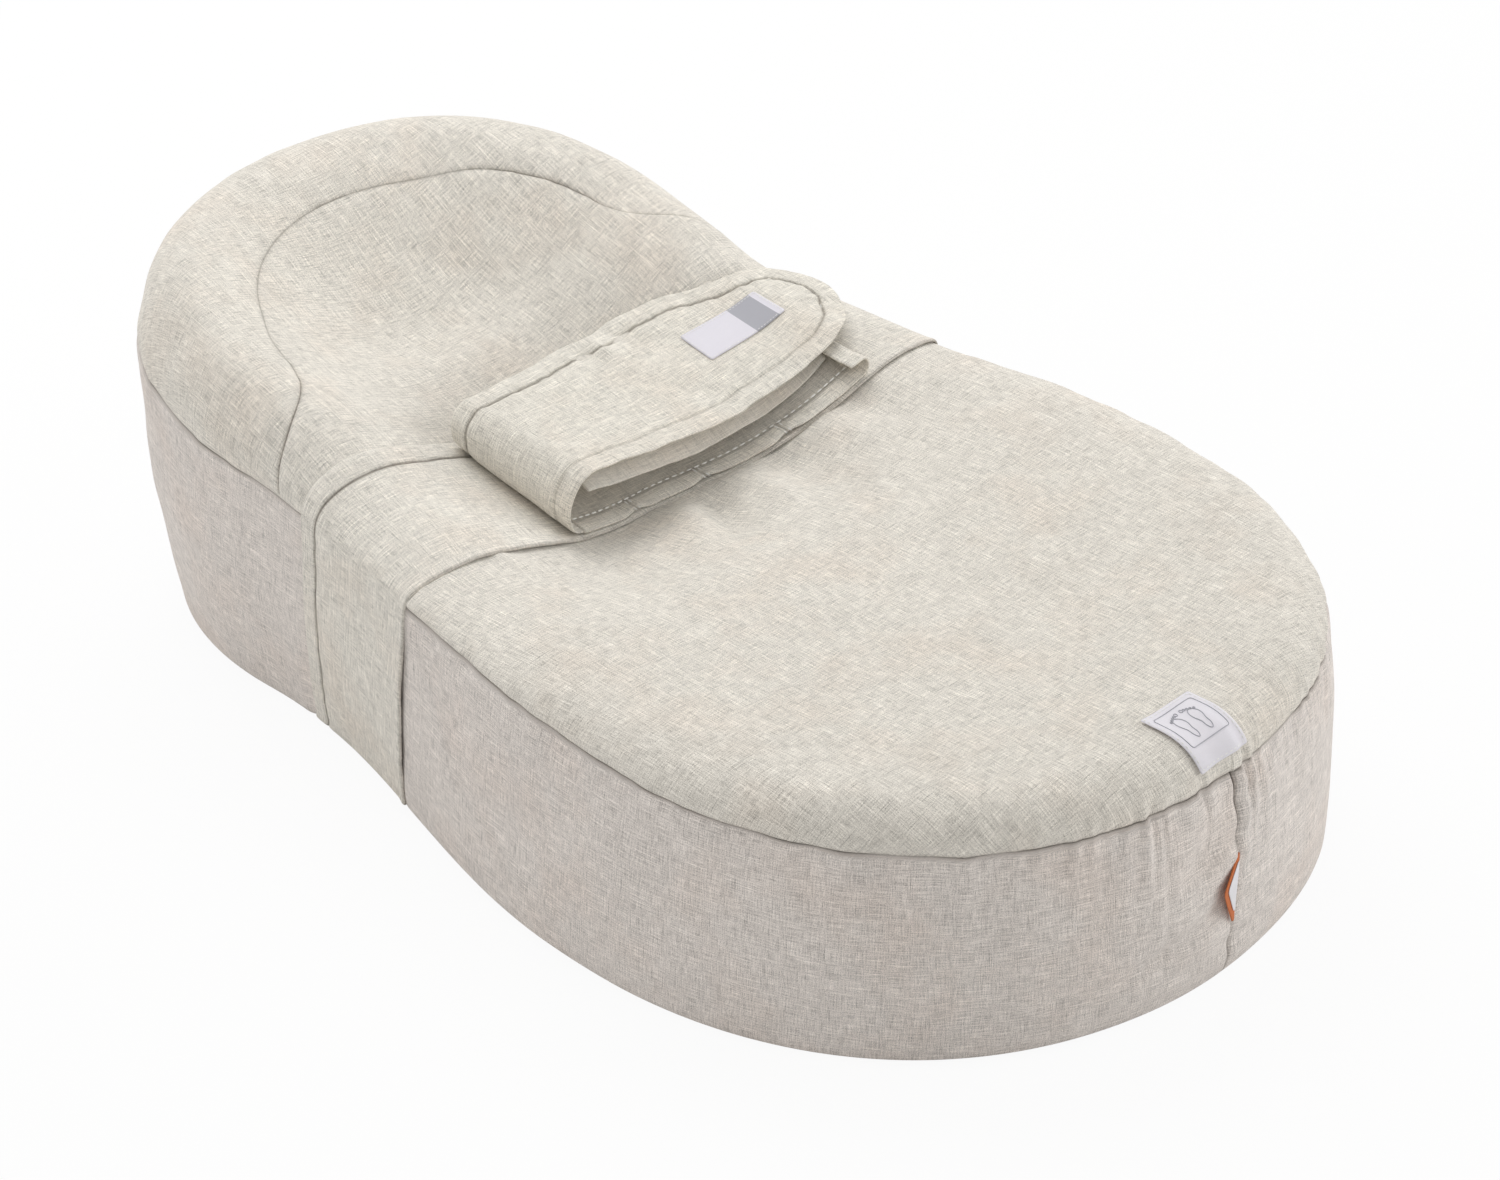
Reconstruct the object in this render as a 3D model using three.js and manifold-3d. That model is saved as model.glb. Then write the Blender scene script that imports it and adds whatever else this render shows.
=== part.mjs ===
// Infant lounger: a low sculpted nest of foam with a waterproof inner cover, a fitted linen
// sheet, a band wrapped round the waist and a folded belt that closes over the child's tummy.
// Millimetres, +Z up, +X towards the feet, the head at -X. The origin is at the middle of
// the base.
import * as THREE from "three";
import { mergeVertices } from "three/addons/utils/BufferGeometryUtils.js";
import Module from "manifold-3d";

const wasm = await Module();
wasm.setup();

// Plan outline: a round head, a rounder and wider foot, and easy curves between them
const nestLength = 700;
const headRadius = 174;
const footRadius = 213;
const cornerFullnessShare = 0.023;

// Side view: the top seam falls towards the feet, and the rim stands above it
const headSeamHeight = 167;
const footSeamHeight = 118;
const seamFallPower = 1.6;
const headRimHeight = 213;
const footRimHeight = 140;
const rimRiseFromBand = 23;
const rimRiseLength = 340;
const rimRisePower = 1.2;
const shoulderWidth = 26;
const waistShoulderExtra = 8;
const waistDip = 8;
const waistDipFromBand = 31;
const waistDipReach = 34;
const waistReach = 75;
const shoulderFullnessPower = 1;

// Middle line of the hollow: pillow under the head, seat, and a rise under the knees
const pillowHeight = 143;
const seatHeight = 110;
const seatFromBand = 7;
const seatRisePower = 1.25;
const legRestHeight = 133;
const legRestFromSeat = 136;
const hollowPower = 1.35;

// Side walls: they lean in at the head, swell at the foot and turn under at the base
const headWallLean = 14;
const footWallFlare = 10;
const leanToFootCentre = 42;
const leanLength = 260;
const wallSwell = 4;
const baseRound = 7;
const baseDish = 6;
const baseDishRamp = 14;

// Cloth and foam layers, from the outside in
const seamGap = 0.3;
const layerGap = 0.3;
const sheetThickness = 1.2;
const coverThickness = 2;

// Waist band
const bandFromHeadEnd = 224;
const bandWidth = 93;
const bandThickness = 1.6;
const bandGap = 1;
const bandUnderRoom = 2.8;
const bandNearBaseShift = -9;
const bandNearShift = 6;
const bandFarShift = 27;
const bandFarBaseShift = 11;
const bandTurnNearY = -10;
const bandTurnFarY = 112;

// Belt: a quilted base sewn on the band, a fold at its near end and a leaf folded over it
const beltInset = 5;
const beltBaseThickness = 2;
const beltBaseGap = 0.8;
const beltCurlRadius = 3.4;
const beltCurlReturn = 8;
const beltNearY = -62;
const beltFarToSide = 46;
const foldBulge = 13;
const foldToLeafGap = 0.7;
const leafThickness = 1.8;
const leafShift = 7;
const leafNearY = -56;
const leafRoundToSide = 57;
const leafEndToSide = 11;
const leafTaperToSide = 98;
const leafTaperShare = 0.2;
const leafOverFootRim = 13.5;
const leafUnderHeadRim = 1;
const leafFootSag = 12;
const leafHeadCrown = 1.5;
const leafSagPower = 1.5;
const leafHump = 5;
const leafHumpToSide = 45;
const leafHumpReach = 17;
const leafLowToSide = 131;
const curlAtHeadShare = 0.4;
const curlOpenPower = 3;
const leafDroop = 0.8;
const liningThickness = 1.2;
const liningGap = 1;
const liningInset = 5;
const liningFarY = 84;
const patchThickness = 1;
const patchWidth = 50;
const patchDepth = 15;
const patchToSide = 19;

// Labels
const labelThickness = 0.5;
const labelGap = 0.5;
const beltLabelWidth = 24;
const beltLabelLength = 56;
const beltLabelFromEdge = 32;
const beltLabelNearY = 74;
const footLabelWidth = 34;
const footLabelTop = 37;
const footLabelToSeam = 5;
const footLabelAside = 6;
const tagHeight = 40;
const tagReach = 13;
const tagThickness = 1.4;
const tagFromBase = 34;
const tagCornerRise = 26;
const tagTipReach = 2;
const tagTurn = 1.2;
const tagBorder = 2.6;
const tagPanelThickness = 0.4;

// Head pocket: the sewn line round the pillow, flaring out to the band
const pocketRadius = 120;
const pocketFlareToBand = 21;
const pocketFlareY = 166;
const pocketTurnShare = 1.06;
const flareBendXShare = 0.45;
const flareBendYShare = 0.2;

// Hem of the fitted sheet, turned under the base, with an elastic in its casing
const hemThickness = 1.2;
const hemReach = 34;
const casingDepth = 16;
const casingRoom = 2;
const elasticWidth = 9;
const elasticThickness = 1;

// Leg cushion in its pocket under the sheet
const legPocketFromSeat = 48;
const legPocketLength = 140;
const legPocketWidth = 230;
const legPocketFloor = 90;
const legPocketCornerRadius = 8;
const legTrayThickness = 2;
const legTravel = 20;
const legSideRoom = 2;
const legFrontHeight = 12;
const legBackHeight = 27;
const legCrownPower = 5;
const stripThickness = 1;
const stripWidth = 25;
const stripSpread = 60;
const hookStripLength = 56;

// Zip under the base
const zipToFootEnd = 60;
const zipLength = 300;
const slotWidth = 8;
const tapeWidth = 12;
const tapeThickness = 0.8;
const tapeToMiddle = 3;
const toothPitch = 8;
const toothLength = 3.6;
const toothReach = 2.6;
const chainCore = 1;
const chainThickness = 2.2;
const sliderLength = 11;
const sliderWall = 1.2;
const sliderRoom = 0.4;
const sliderChannel = 6.2;
const sliderNose = 3.7;
const stopLength = 4;
const stopWidth = 4.8;

const cutOverrun = 60;
const mergeTolerance = 1e-5;

// Places along the nest
const headCentreX = headRadius - nestLength / 2;
const footCentreX = nestLength / 2 - footRadius;
const bandHeadEdgeX = bandFromHeadEnd - nestLength / 2;
const bandFootEdgeX = bandHeadEdgeX + bandWidth;
const waistMiddleX = (bandHeadEdgeX + bandFootEdgeX) / 2;
const waistDipX = bandHeadEdgeX + waistDipFromBand;
const rimRiseFromX = bandFootEdgeX + rimRiseFromBand;
const seatX = bandFootEdgeX + seatFromBand;
const legRestX = seatX + legRestFromSeat;
const leanFromX = footCentreX - leanToFootCentre;
const leafHeadX = bandHeadEdgeX + leafShift;
const leafFootX = bandFootEdgeX + leafShift;
const legPocketFromX = seatX + legPocketFromSeat;
const zipToX = nestLength / 2 - zipToFootEnd;
const zipFromX = zipToX - zipLength;
const quarterTurn = Math.PI / 2;

function clamp01(t) {
  return Math.min(1, Math.max(0, t));
}

function ease(t) {
  const c = clamp01(t);
  return c * c * (3 - 2 * c);
}

function mix(a, b, t) {
  return a + (b - a) * t;
}

// Equal steps from a to b, both ends included
function steps(a, b, count) {
  return Array.from({ length: count + 1 }, (_, i) => mix(a, b, i / count));
}

// Sections of the nest along its length

function halfWidth(x) {
  return mix(headRadius, footRadius, ease((x - headCentreX) / (footCentreX - headCentreX)));
}

// Places across the waist
const waistSideY = halfWidth(waistMiddleX);
const beltFarY = waistSideY - beltFarToSide;
const leafRoundFromY = waistSideY - leafRoundToSide;
const leafEndY = waistSideY - leafEndToSide;
const leafTaperFromY = waistSideY - leafTaperToSide;
const leafHumpY = waistSideY - leafHumpToSide;
const patchFarY = waistSideY - patchToSide;
const patchNearY = patchFarY - patchDepth;

function seamHeight(x) {
  const fromFoot = clamp01((nestLength / 2 - x) / nestLength);
  return mix(footSeamHeight, headSeamHeight, Math.pow(fromFoot, seamFallPower));
}

function rimHeight(x) {
  const up = Math.pow(clamp01((rimRiseFromX - x) / rimRiseLength), rimRisePower);
  const fromDip = (x - waistDipX) / waistDipReach;
  const dip = waistDip * Math.exp(-fromDip * fromDip);
  return mix(footRimHeight, headRimHeight, Math.sin(up * quarterTurn)) - dip;
}

function spineHeight(x) {
  if (x < seatX) {
    const up = clamp01((seatX - x) / (seatX - headCentreX));
    return mix(seatHeight, pillowHeight, Math.pow(up, seatRisePower));
  }
  return mix(seatHeight, legRestHeight, ease((x - seatX) / (legRestX - seatX)));
}

// The band draws the rim in at the waist, so that the shoulder is broader there
function shoulder(x) {
  const fromWaist = (x - waistMiddleX) / waistReach;
  return shoulderWidth + waistShoulderExtra * Math.exp(-fromWaist * fromWaist);
}

function wallLean(x) {
  return mix(-footWallFlare, headWallLean, ease((leanFromX - x) / leanLength));
}

// Columns round the plan: a fan at the head, stations along the middle, a fan at the foot
const headFanSteps = 7;
const footFanSteps = 8;
const bandRoomHeadX = bandHeadEdgeX + bandNearBaseShift;
const bandRoomFootX = bandFootEdgeX + bandFarBaseShift;
const stationsX = [
  ...steps(headCentreX, bandRoomHeadX, 2),
  ...steps(bandRoomHeadX, bandRoomFootX, 4).slice(1),
  ...steps(bandRoomFootX, footCentreX, 4).slice(1),
];
const halfColumns = headFanSteps + stationsX.length - 1 + footFanSteps;
const allColumns = 2 * halfColumns;

// Rows from the middle line over the rim, down the wall and under the base
const topRows = 6;
const shoulderRows = 3;
const wallRows = 3;
const roundRows = 2;
const seamRow = topRows + shoulderRows;
const wallEndRow = seamRow + wallRows;
const baseRow = wallEndRow + roundRows;
const lastRow = baseRow + 2;

function column(k) {
  const far = k > halfColumns;
  const n = far ? allColumns - k : k;
  const side = far ? 1 : -1;
  if (n <= headFanSteps) {
    const a = (n / headFanSteps) * quarterTurn;
    const reach = headRadius * (1 + cornerFullnessShare * Math.sin(2 * a) ** 2);
    return { x: headCentreX, dx: -Math.cos(a), dy: side * Math.sin(a), reach };
  }
  const station = n - headFanSteps;
  if (station < stationsX.length) {
    const x = stationsX[station];
    return { x, dx: 0, dy: side, reach: halfWidth(x) };
  }
  const a = ((halfColumns - n) / footFanSteps) * quarterTurn;
  const reach = footRadius * (1 + cornerFullnessShare * Math.sin(2 * a) ** 2);
  return { x: footCentreX, dx: Math.cos(a), dy: side * Math.sin(a), reach };
}

// Lift of the base at the waist, where the band passes under it
function baseLift(x) {
  return x >= bandRoomHeadX && x <= bandRoomFootX ? bandUnderRoom : 0;
}

function surfacePoint(c, row) {
  const outX = c.x + c.dx * c.reach;
  const lean = wallLean(outX);
  const lift = baseLift(c.x);
  const footIn = c.reach - lean;
  let out = 0;
  let z = baseDish + lift;
  if (row <= topRows) {
    const s = row / topRows;
    out = s * (c.reach - shoulder(outX));
    z = mix(spineHeight(c.x), rimHeight(outX), ease(Math.pow(s, hollowPower)));
  } else if (row <= seamRow) {
    const a = ((row - topRows) / shoulderRows) * quarterTurn;
    out = c.reach - shoulder(outX) * (1 - Math.sin(a));
    z = mix(seamHeight(outX), rimHeight(outX), Math.pow(Math.cos(a), shoulderFullnessPower));
  } else if (row <= wallEndRow) {
    const w = (row - seamRow) / wallRows;
    out = c.reach - lean * w + wallSwell * Math.sin(w * Math.PI);
    z = mix(seamHeight(outX), lift + baseRound, w);
  } else if (row <= baseRow) {
    const a = ((row - wallEndRow) / roundRows) * quarterTurn;
    out = footIn - baseRound * (1 - Math.cos(a));
    z = lift + baseRound * (1 - Math.sin(a));
  } else if (row < lastRow) {
    out = footIn - baseRound - baseDishRamp;
  }
  return new THREE.Vector3(c.x + c.dx * out, c.dy * out, z);
}

// A grid is a list of columns, each a list of points. The nest's grid closes on itself.
function nestGrid() {
  const grid = [];
  for (let k = 0; k <= allColumns; k += 1) {
    const c = column(k % allColumns);
    grid.push(Array.from({ length: lastRow + 1 }, (_, row) => surfacePoint(c, row)));
  }
  return grid;
}

function keyOf(p) {
  return [p.x, p.y, p.z].map((c) => Math.round(c / mergeTolerance)).join(",");
}

// Corners of a grid with equal places joined, and its triangles with flat ones left out
function gridFaces(grid) {
  const corners = [];
  const places = new Map();
  const index = grid.map((line) =>
    line.map((p) => {
      const key = keyOf(p);
      if (!places.has(key)) {
        places.set(key, corners.length);
        corners.push(p);
      }
      return places.get(key);
    }),
  );
  const faces = [];
  const addFace = (a, b, c) => {
    if (a !== b && b !== c && c !== a) faces.push([a, b, c]);
  };
  for (let i = 0; i + 1 < grid.length; i += 1) {
    for (let j = 0; j + 1 < grid[i].length; j += 1) {
      addFace(index[i][j], index[i][j + 1], index[i + 1][j + 1]);
      addFace(index[i][j], index[i + 1][j + 1], index[i + 1][j]);
    }
  }
  return { corners, faces, index };
}

// The same grid moved along its own normals
function offsetGrid(grid, distance) {
  const { corners, faces, index } = gridFaces(grid);
  const normals = corners.map(() => new THREE.Vector3());
  for (const [a, b, c] of faces) {
    const ab = corners[b].clone().sub(corners[a]);
    const ac = corners[c].clone().sub(corners[a]);
    const n = ab.cross(ac);
    for (const corner of [a, b, c]) normals[corner].add(n);
  }
  normals.forEach((n) => n.normalize());
  return grid.map((line, i) =>
    line.map((p, j) => p.clone().addScaledVector(normals[index[i][j]], distance)),
  );
}

// Part of a grid, at whole or part places along it
function sampleGrid(grid, is, js) {
  const at = (i, j) => {
    const i0 = Math.min(Math.floor(i), grid.length - 2);
    const j0 = Math.min(Math.floor(j), grid[0].length - 2);
    const a = grid[i0][j0].clone().lerp(grid[i0][j0 + 1], j - j0);
    const b = grid[i0 + 1][j0].clone().lerp(grid[i0 + 1][j0 + 1], j - j0);
    return a.lerp(b, i - i0);
  };
  return is.map((i) => js.map((j) => at(i, j)));
}

// Places from a to b with every whole number between them
function placesBetween(a, b) {
  const inner = [];
  for (let n = Math.floor(a) + 1; n < b; n += 1) inner.push(n);
  return [a, ...inner, b];
}

function geometryOf(corners, faces) {
  let volume = 0;
  for (const [a, b, c] of faces) {
    volume += corners[a].dot(corners[b].clone().cross(corners[c]));
  }
  const order = volume < 0 ? faces.map(([a, b, c]) => [a, c, b]) : faces;
  const geometry = new THREE.BufferGeometry();
  const values = corners.flatMap((p) => [p.x, p.y, p.z]);
  geometry.setAttribute("position", new THREE.Float32BufferAttribute(values, 3));
  geometry.setIndex(order.flat());
  return geometry;
}

// A closed surface given by one grid
function solidOfGrid(grid) {
  const { corners, faces } = gridFaces(grid);
  return geometryOf(corners, faces);
}

// A cloth between two grids with the same places, closed along its free edges
function clothBetween(upper, lower) {
  const { corners, faces, index } = gridFaces(upper);
  const count = corners.length;
  const all = [...corners, ...corners.map(() => null)];
  upper.forEach((line, i) =>
    line.forEach((_, j) => {
      all[count + index[i][j]] = lower[i][j];
    }),
  );
  const edges = new Set();
  for (const [a, b, c] of faces) {
    for (const edge of [[a, b], [b, c], [c, a]]) edges.add(edge.join(","));
  }
  const body = [...faces, ...faces.map(([a, b, c]) => [count + a, count + c, count + b])];
  for (const edge of edges) {
    const [a, b] = edge.split(",").map(Number);
    if (!edges.has([b, a].join(","))) {
      body.push([b, a, count + a]);
      body.push([b, count + a, count + b]);
    }
  }
  return geometryOf(all, body);
}

function clothOnGrid(grid, thickness) {
  return clothBetween(offsetGrid(grid, thickness / 2), offsetGrid(grid, -thickness / 2));
}

// Joins and cuts

function toSolid(geometry) {
  const bare = geometry.clone();
  bare.deleteAttribute("normal");
  bare.deleteAttribute("uv");
  const merged = mergeVertices(bare, mergeTolerance);
  const vertProperties = new Float32Array(merged.attributes.position.array);
  const triVerts = new Uint32Array(merged.index.array);
  return new wasm.Manifold(new wasm.Mesh({ numProp: 3, vertProperties, triVerts }));
}

function toGeometry(solid) {
  const mesh = solid.getMesh();
  const geometry = new THREE.BufferGeometry();
  const positions = new THREE.BufferAttribute(new Float32Array(mesh.vertProperties), 3);
  geometry.setAttribute("position", positions);
  geometry.setIndex(new THREE.BufferAttribute(new Uint32Array(mesh.triVerts), 1));
  return geometry;
}

function cut(geometry, ...tools) {
  return toGeometry(tools.reduce((solid, tool) => solid.subtract(toSolid(tool)), toSolid(geometry)));
}

function common(geometry, other) {
  return toGeometry(toSolid(geometry).intersect(toSolid(other)));
}

function box(fromX, toX, fromY, toY, fromZ, toZ) {
  const geometry = new THREE.BoxGeometry(toX - fromX, toY - fromY, toZ - fromZ);
  return geometry.translate((fromX + toX) / 2, (fromY + toY) / 2, (fromZ + toZ) / 2);
}

// An upright block with round corners in plan
function roundBlock(fromX, toX, width, corner, fromZ, toZ) {
  const half = width / 2;
  const shape = new THREE.Shape();
  shape.moveTo(fromX + corner, -half);
  shape.lineTo(toX - corner, -half);
  shape.absarc(toX - corner, corner - half, corner, -quarterTurn, 0);
  shape.absarc(toX - corner, half - corner, corner, 0, quarterTurn);
  shape.absarc(fromX + corner, half - corner, corner, quarterTurn, 2 * quarterTurn);
  shape.absarc(fromX + corner, corner - half, corner, 2 * quarterTurn, 3 * quarterTurn);
  const depth = toZ - fromZ;
  const geometry = new THREE.ExtrudeGeometry(shape, {
    depth,
    bevelEnabled: false,
    curveSegments: 4,
  });
  return geometry.translate(0, 0, fromZ);
}

// Materials and the assembly

const lounger = new THREE.Group();

function add(name, geometry, color, roughness, metalness = 0) {
  const material = new THREE.MeshStandardMaterial({ color, roughness, metalness });
  const mesh = new THREE.Mesh(geometry, material);
  mesh.name = name;
  lounger.add(mesh);
  return mesh;
}

const linenTop = 0xded9cd;
const linenSide = 0xcfc9c0;
const foamCream = 0xe9e2c8;
const coverWhite = 0xe6e6e2;
const labelWhite = 0xeeecf2;
const tagOrange = 0xc0532b;
const tapeGrey = 0xbfbdb8;
const hookGrey = 0xd6d3cc;
const plasticWhite = 0xe8e8e6;

// Layers of the nest, measured from the outer face of the sheet

const nest = nestGrid();
const layerCache = new Map();

function layer(distance) {
  if (!layerCache.has(distance)) layerCache.set(distance, offsetGrid(nest, distance));
  return layerCache.get(distance);
}

const coverOut = -sheetThickness - layerGap;
const coverIn = coverOut - coverThickness;
const foamOut = coverIn - layerGap;
const allAround = placesBetween(0, allColumns);

function nestCloth(outer, inner, is, js) {
  return clothBetween(sampleGrid(layer(outer), is, js), sampleGrid(layer(inner), is, js));
}

// Half the seam gap as a part of a row or a column of the grid
function rowShare(length, row) {
  const mid = headFanSteps + 1;
  return length / nest[mid][row].distanceTo(nest[mid][row + 1]);
}

const halfSeam = seamGap / 2;
const topEdgeRow = seamRow - rowShare(halfSeam, seamRow - 1);
const wallTopRow = seamRow + rowShare(halfSeam, seamRow);

// Leg pocket, cut out of the foam and lined with a tray of the inner cover's cloth

const legPocketToX = legPocketFromX + legPocketLength;
const highestRim = headRimHeight + cutOverrun;

function legPocketBlock(inset, floor) {
  return roundBlock(
    legPocketFromX + inset,
    legPocketToX - inset,
    legPocketWidth - 2 * inset,
    legPocketCornerRadius - inset,
    floor,
    highestRim,
  );
}

const legPocket = legPocketBlock(0, legPocketFloor);
const foam = cut(solidOfGrid(layer(foamOut)), legPocket);
add("foam_core", foam, foamCream, 0.95);

const coverRows = placesBetween(0, baseRow - rowShare(halfSeam, baseRow - 1));
const coverShell = nestCloth(coverOut, coverIn, allAround, coverRows);
add("inner_cover", cut(coverShell, legPocket), coverWhite, 0.6);

const trayFloor = legPocketFloor + layerGap;
const trayTop = trayFloor + legTrayThickness;
const trayBlock = cut(
  legPocketBlock(layerGap, trayFloor),
  legPocketBlock(layerGap + legTrayThickness, trayTop),
);
add("leg_pocket_lining", common(trayBlock, solidOfGrid(layer(coverOut))), coverWhite, 0.6);

// Hook and loop strips under the leg cushion: loops sewn to the pocket, hooks to the cushion

const legMiddleX = (legPocketFromX + legPocketToX) / 2;
const legInsideLength = legPocketLength - 2 * (layerGap + legTrayThickness);
const legCushionLength = legInsideLength - 2 * legTravel - 2 * layerGap;
const loopStripLength = hookStripLength + 2 * legTravel;
const loopTop = trayTop + layerGap + stripThickness;
const hookTop = loopTop + layerGap + stripThickness;

function strip(middleY, length, bottom) {
  const halfLength = length / 2;
  const halfStrip = stripWidth / 2;
  return box(
    legMiddleX - halfLength,
    legMiddleX + halfLength,
    middleY - halfStrip,
    middleY + halfStrip,
    bottom,
    bottom + stripThickness,
  );
}

for (const [side, sign] of [["near", -1], ["far", 1]]) {
  const y = sign * stripSpread;
  add(`leg_loop_strip_${side}`, strip(y, loopStripLength, trayTop + layerGap), hookGrey, 0.9);
  add(`leg_hook_strip_${side}`, strip(y, hookStripLength, loopTop + layerGap), hookGrey, 0.9);
}

// Leg cushion: a crowned wedge, higher towards the feet, with its sides drawn in

const legSteps = 10;
const legCushionWidth = legPocketWidth - 2 * (layerGap + legTrayThickness + legSideRoom);
const legDrawnInShare = 0.03;
const legCornerShare = 0.03;
const legEdgeShare = 0.35;

function legCushionGrid() {
  const bottom = hookTop + layerGap;
  const place = (i) => Math.sin(mix(-quarterTurn, quarterTurn, i / legSteps));
  const grid = [];
  for (let i = 0; i <= legSteps; i += 1) {
    const a = place(i);
    const line = [];
    const height = mix(legFrontHeight, legBackHeight, (a + 1) / 2);
    for (let j = 0; j <= legSteps; j += 1) {
      const b = place(j);
      const corner = legCornerShare * a * a * b * b;
      const drawnX = 1 - corner - legDrawnInShare * (1 - b * b);
      const drawnY = 1 - corner - legDrawnInShare * (1 - a * a);
      const crownX = 1 - Math.abs(a) ** legCrownPower;
      const crownY = 1 - Math.abs(b) ** legCrownPower;
      const crown = Math.sqrt(crownX * crownY);
      const x = legMiddleX + (a * drawnX * legCushionLength) / 2;
      const y = (b * drawnY * legCushionWidth) / 2;
      line.push(new THREE.Vector3(x, y, bottom + height * mix(legEdgeShare, 1, crown)));
    }
    grid.push(line);
  }
  return grid;
}

const legTopGrid = legCushionGrid();
const legBottomGrid = legTopGrid.map((line) =>
  line.map((p) => new THREE.Vector3(p.x, p.y, hookTop + layerGap)),
);
add("leg_cushion", clothBetween(legTopGrid, legBottomGrid), coverWhite, 0.9);

// Base of the inner cover, with the zip along it

const baseRows = placesBetween(baseRow + rowShare(halfSeam, baseRow), lastRow);
const baseCloth = nestCloth(coverOut, coverIn, allAround, baseRows);
const halfSlot = slotWidth / 2;
const coverBaseZ = baseDish - coverOut;
const slot = box(zipFromX, zipToX, -halfSlot, halfSlot, -cutOverrun, cutOverrun);
add("inner_cover_base", cut(baseCloth, slot), coverWhite, 0.6);

const tapeTop = coverBaseZ - layerGap;
const tapeBottom = tapeTop - tapeThickness;

for (const [side, sign] of [["near", -1], ["far", 1]]) {
  const inner = sign * tapeToMiddle;
  const outer = sign * (tapeToMiddle + tapeWidth);
  const tape = box(
    zipFromX - stopLength,
    zipToX + stopLength,
    Math.min(inner, outer),
    Math.max(inner, outer),
    tapeBottom,
    tapeTop,
  );
  add(`zip_tape_${side}`, tape, tapeGrey, 0.85);
}

// Chain of teeth that mesh from both sides, closed along its whole length
const toothCount = Math.floor((zipLength - 2 * stopLength) / toothPitch);
const chainFromX = zipFromX + stopLength + layerGap;
const chainToX = chainFromX + toothCount * toothPitch;
const chainBottom = tapeBottom - (chainThickness - tapeThickness) / 2;

function toothedEdge(sign) {
  const points = [];
  const phase = sign > 0 ? toothPitch / 2 : 0;
  for (let n = 0; n < toothCount; n += 1) {
    const from = chainFromX + n * toothPitch + phase;
    const to = Math.min(from + toothLength, chainToX);
    points.push([from, sign * chainCore], [from, sign * toothReach]);
    points.push([to, sign * toothReach], [to, sign * chainCore]);
  }
  return points;
}

function zipChain() {
  const nearEdge = toothedEdge(-1);
  const farEdge = toothedEdge(1).reverse();
  const ends = [[chainToX, -chainCore], [chainToX, chainCore]];
  const points = [...nearEdge, ...ends, ...farEdge, [chainFromX, chainCore]];
  const shape = new THREE.Shape(points.map(([x, y]) => new THREE.Vector2(x, y)));
  const geometry = new THREE.ExtrudeGeometry(shape, { depth: chainThickness, bevelEnabled: false });
  return geometry.translate(0, 0, chainBottom);
}

add("zip_teeth", zipChain(), plasticWhite, 0.4);

const stopHalf = stopWidth / 2;
const footStopFromX = chainToX + layerGap;
const headStop = [zipFromX, zipFromX + stopLength];
const footStop = [footStopFromX, footStopFromX + stopLength];
for (const [end, [fromX, toX]] of [["head", headStop], ["foot", footStop]]) {
  const stop = box(fromX, toX, -stopHalf, stopHalf, chainBottom, chainBottom + chainThickness);
  add(`zip_stop_${end}`, stop, plasticWhite, 0.4);
}

// Slider: a channel that wraps the teeth from below, with no pull for a child to reach
const sliderHalf = sliderChannel / 2;
const channelTop = chainBottom - sliderRoom;
const flangeTop = tapeBottom - layerGap;

function zipSlider() {
  const shape = new THREE.Shape();
  const outer = sliderHalf + sliderWall;
  shape.moveTo(0, -outer / 2);
  shape.lineTo(sliderNose, -outer);
  shape.lineTo(sliderLength, -outer);
  shape.lineTo(sliderLength, outer);
  shape.lineTo(sliderNose, outer);
  shape.lineTo(0, outer / 2);
  const bottom = channelTop - sliderWall;
  const depth = flangeTop - bottom;
  const block = new THREE.ExtrudeGeometry(shape, { depth, bevelEnabled: false });
  block.translate(chainFromX, 0, bottom);
  const channel = box(
    chainFromX - cutOverrun,
    chainFromX + cutOverrun,
    -sliderHalf,
    sliderHalf,
    channelTop,
    channelTop + cutOverrun,
  );
  return cut(block, channel);
}

add("zip_slider", zipSlider(), plasticWhite, 0.35);

// Fitted sheet: the head piece outside the sewn line, the top panel, and two sides

function headPieceBlock(clearance) {
  const outer = nestLength;
  const radius = pocketRadius + clearance;
  const turnFrom = quarterTurn * pocketTurnShare;
  const startX = headCentreX + radius * Math.cos(turnFrom);
  const startY = radius * Math.sin(turnFrom);
  const flareX = bandHeadEdgeX - pocketFlareToBand - clearance;
  const flareY = pocketFlareY;
  const bendX = mix(startX, flareX, flareBendXShare);
  const bendY = mix(startY, flareY, flareBendYShare);
  const shape = new THREE.Shape();
  shape.moveTo(flareX, -outer);
  shape.lineTo(flareX, -flareY);
  shape.quadraticCurveTo(bendX, -bendY, startX, -startY);
  shape.absarc(headCentreX, 0, radius, -turnFrom, turnFrom, true);
  shape.quadraticCurveTo(bendX, bendY, flareX, flareY);
  shape.lineTo(flareX, outer);
  shape.lineTo(-outer, outer);
  shape.lineTo(-outer, -outer);
  const depth = highestRim;
  return new THREE.ExtrudeGeometry(shape, { depth, bevelEnabled: false, curveSegments: 14 });
}

const sheetTop = nestCloth(0, -sheetThickness, allAround, placesBetween(0, topEdgeRow));
add("sheet_head_piece", common(sheetTop, headPieceBlock(halfSeam)), linenTop, 0.9);
add("sheet_top_panel", cut(sheetTop, headPieceBlock(-halfSeam)), linenTop, 0.9);

const sideRows = placesBetween(wallTopRow, baseRow - rowShare(layerGap, baseRow - 1));
const columnShare = halfSeam / nest[0][seamRow].distanceTo(nest[1][seamRow]);
for (const [side, from] of [["near", 0], ["far", halfColumns]]) {
  const is = placesBetween(from + columnShare, from + halfColumns - columnShare);
  add(`sheet_side_${side}`, nestCloth(0, -sheetThickness, is, sideRows), linenSide, 0.9);
}

// Hem turned under the base, folded back on itself as a casing for the elastic

const hemMiddle = hemThickness / 2;
const casingTop = hemThickness + casingRoom + hemMiddle;
const hemTurn = (casingTop - hemMiddle) / 2;

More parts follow.
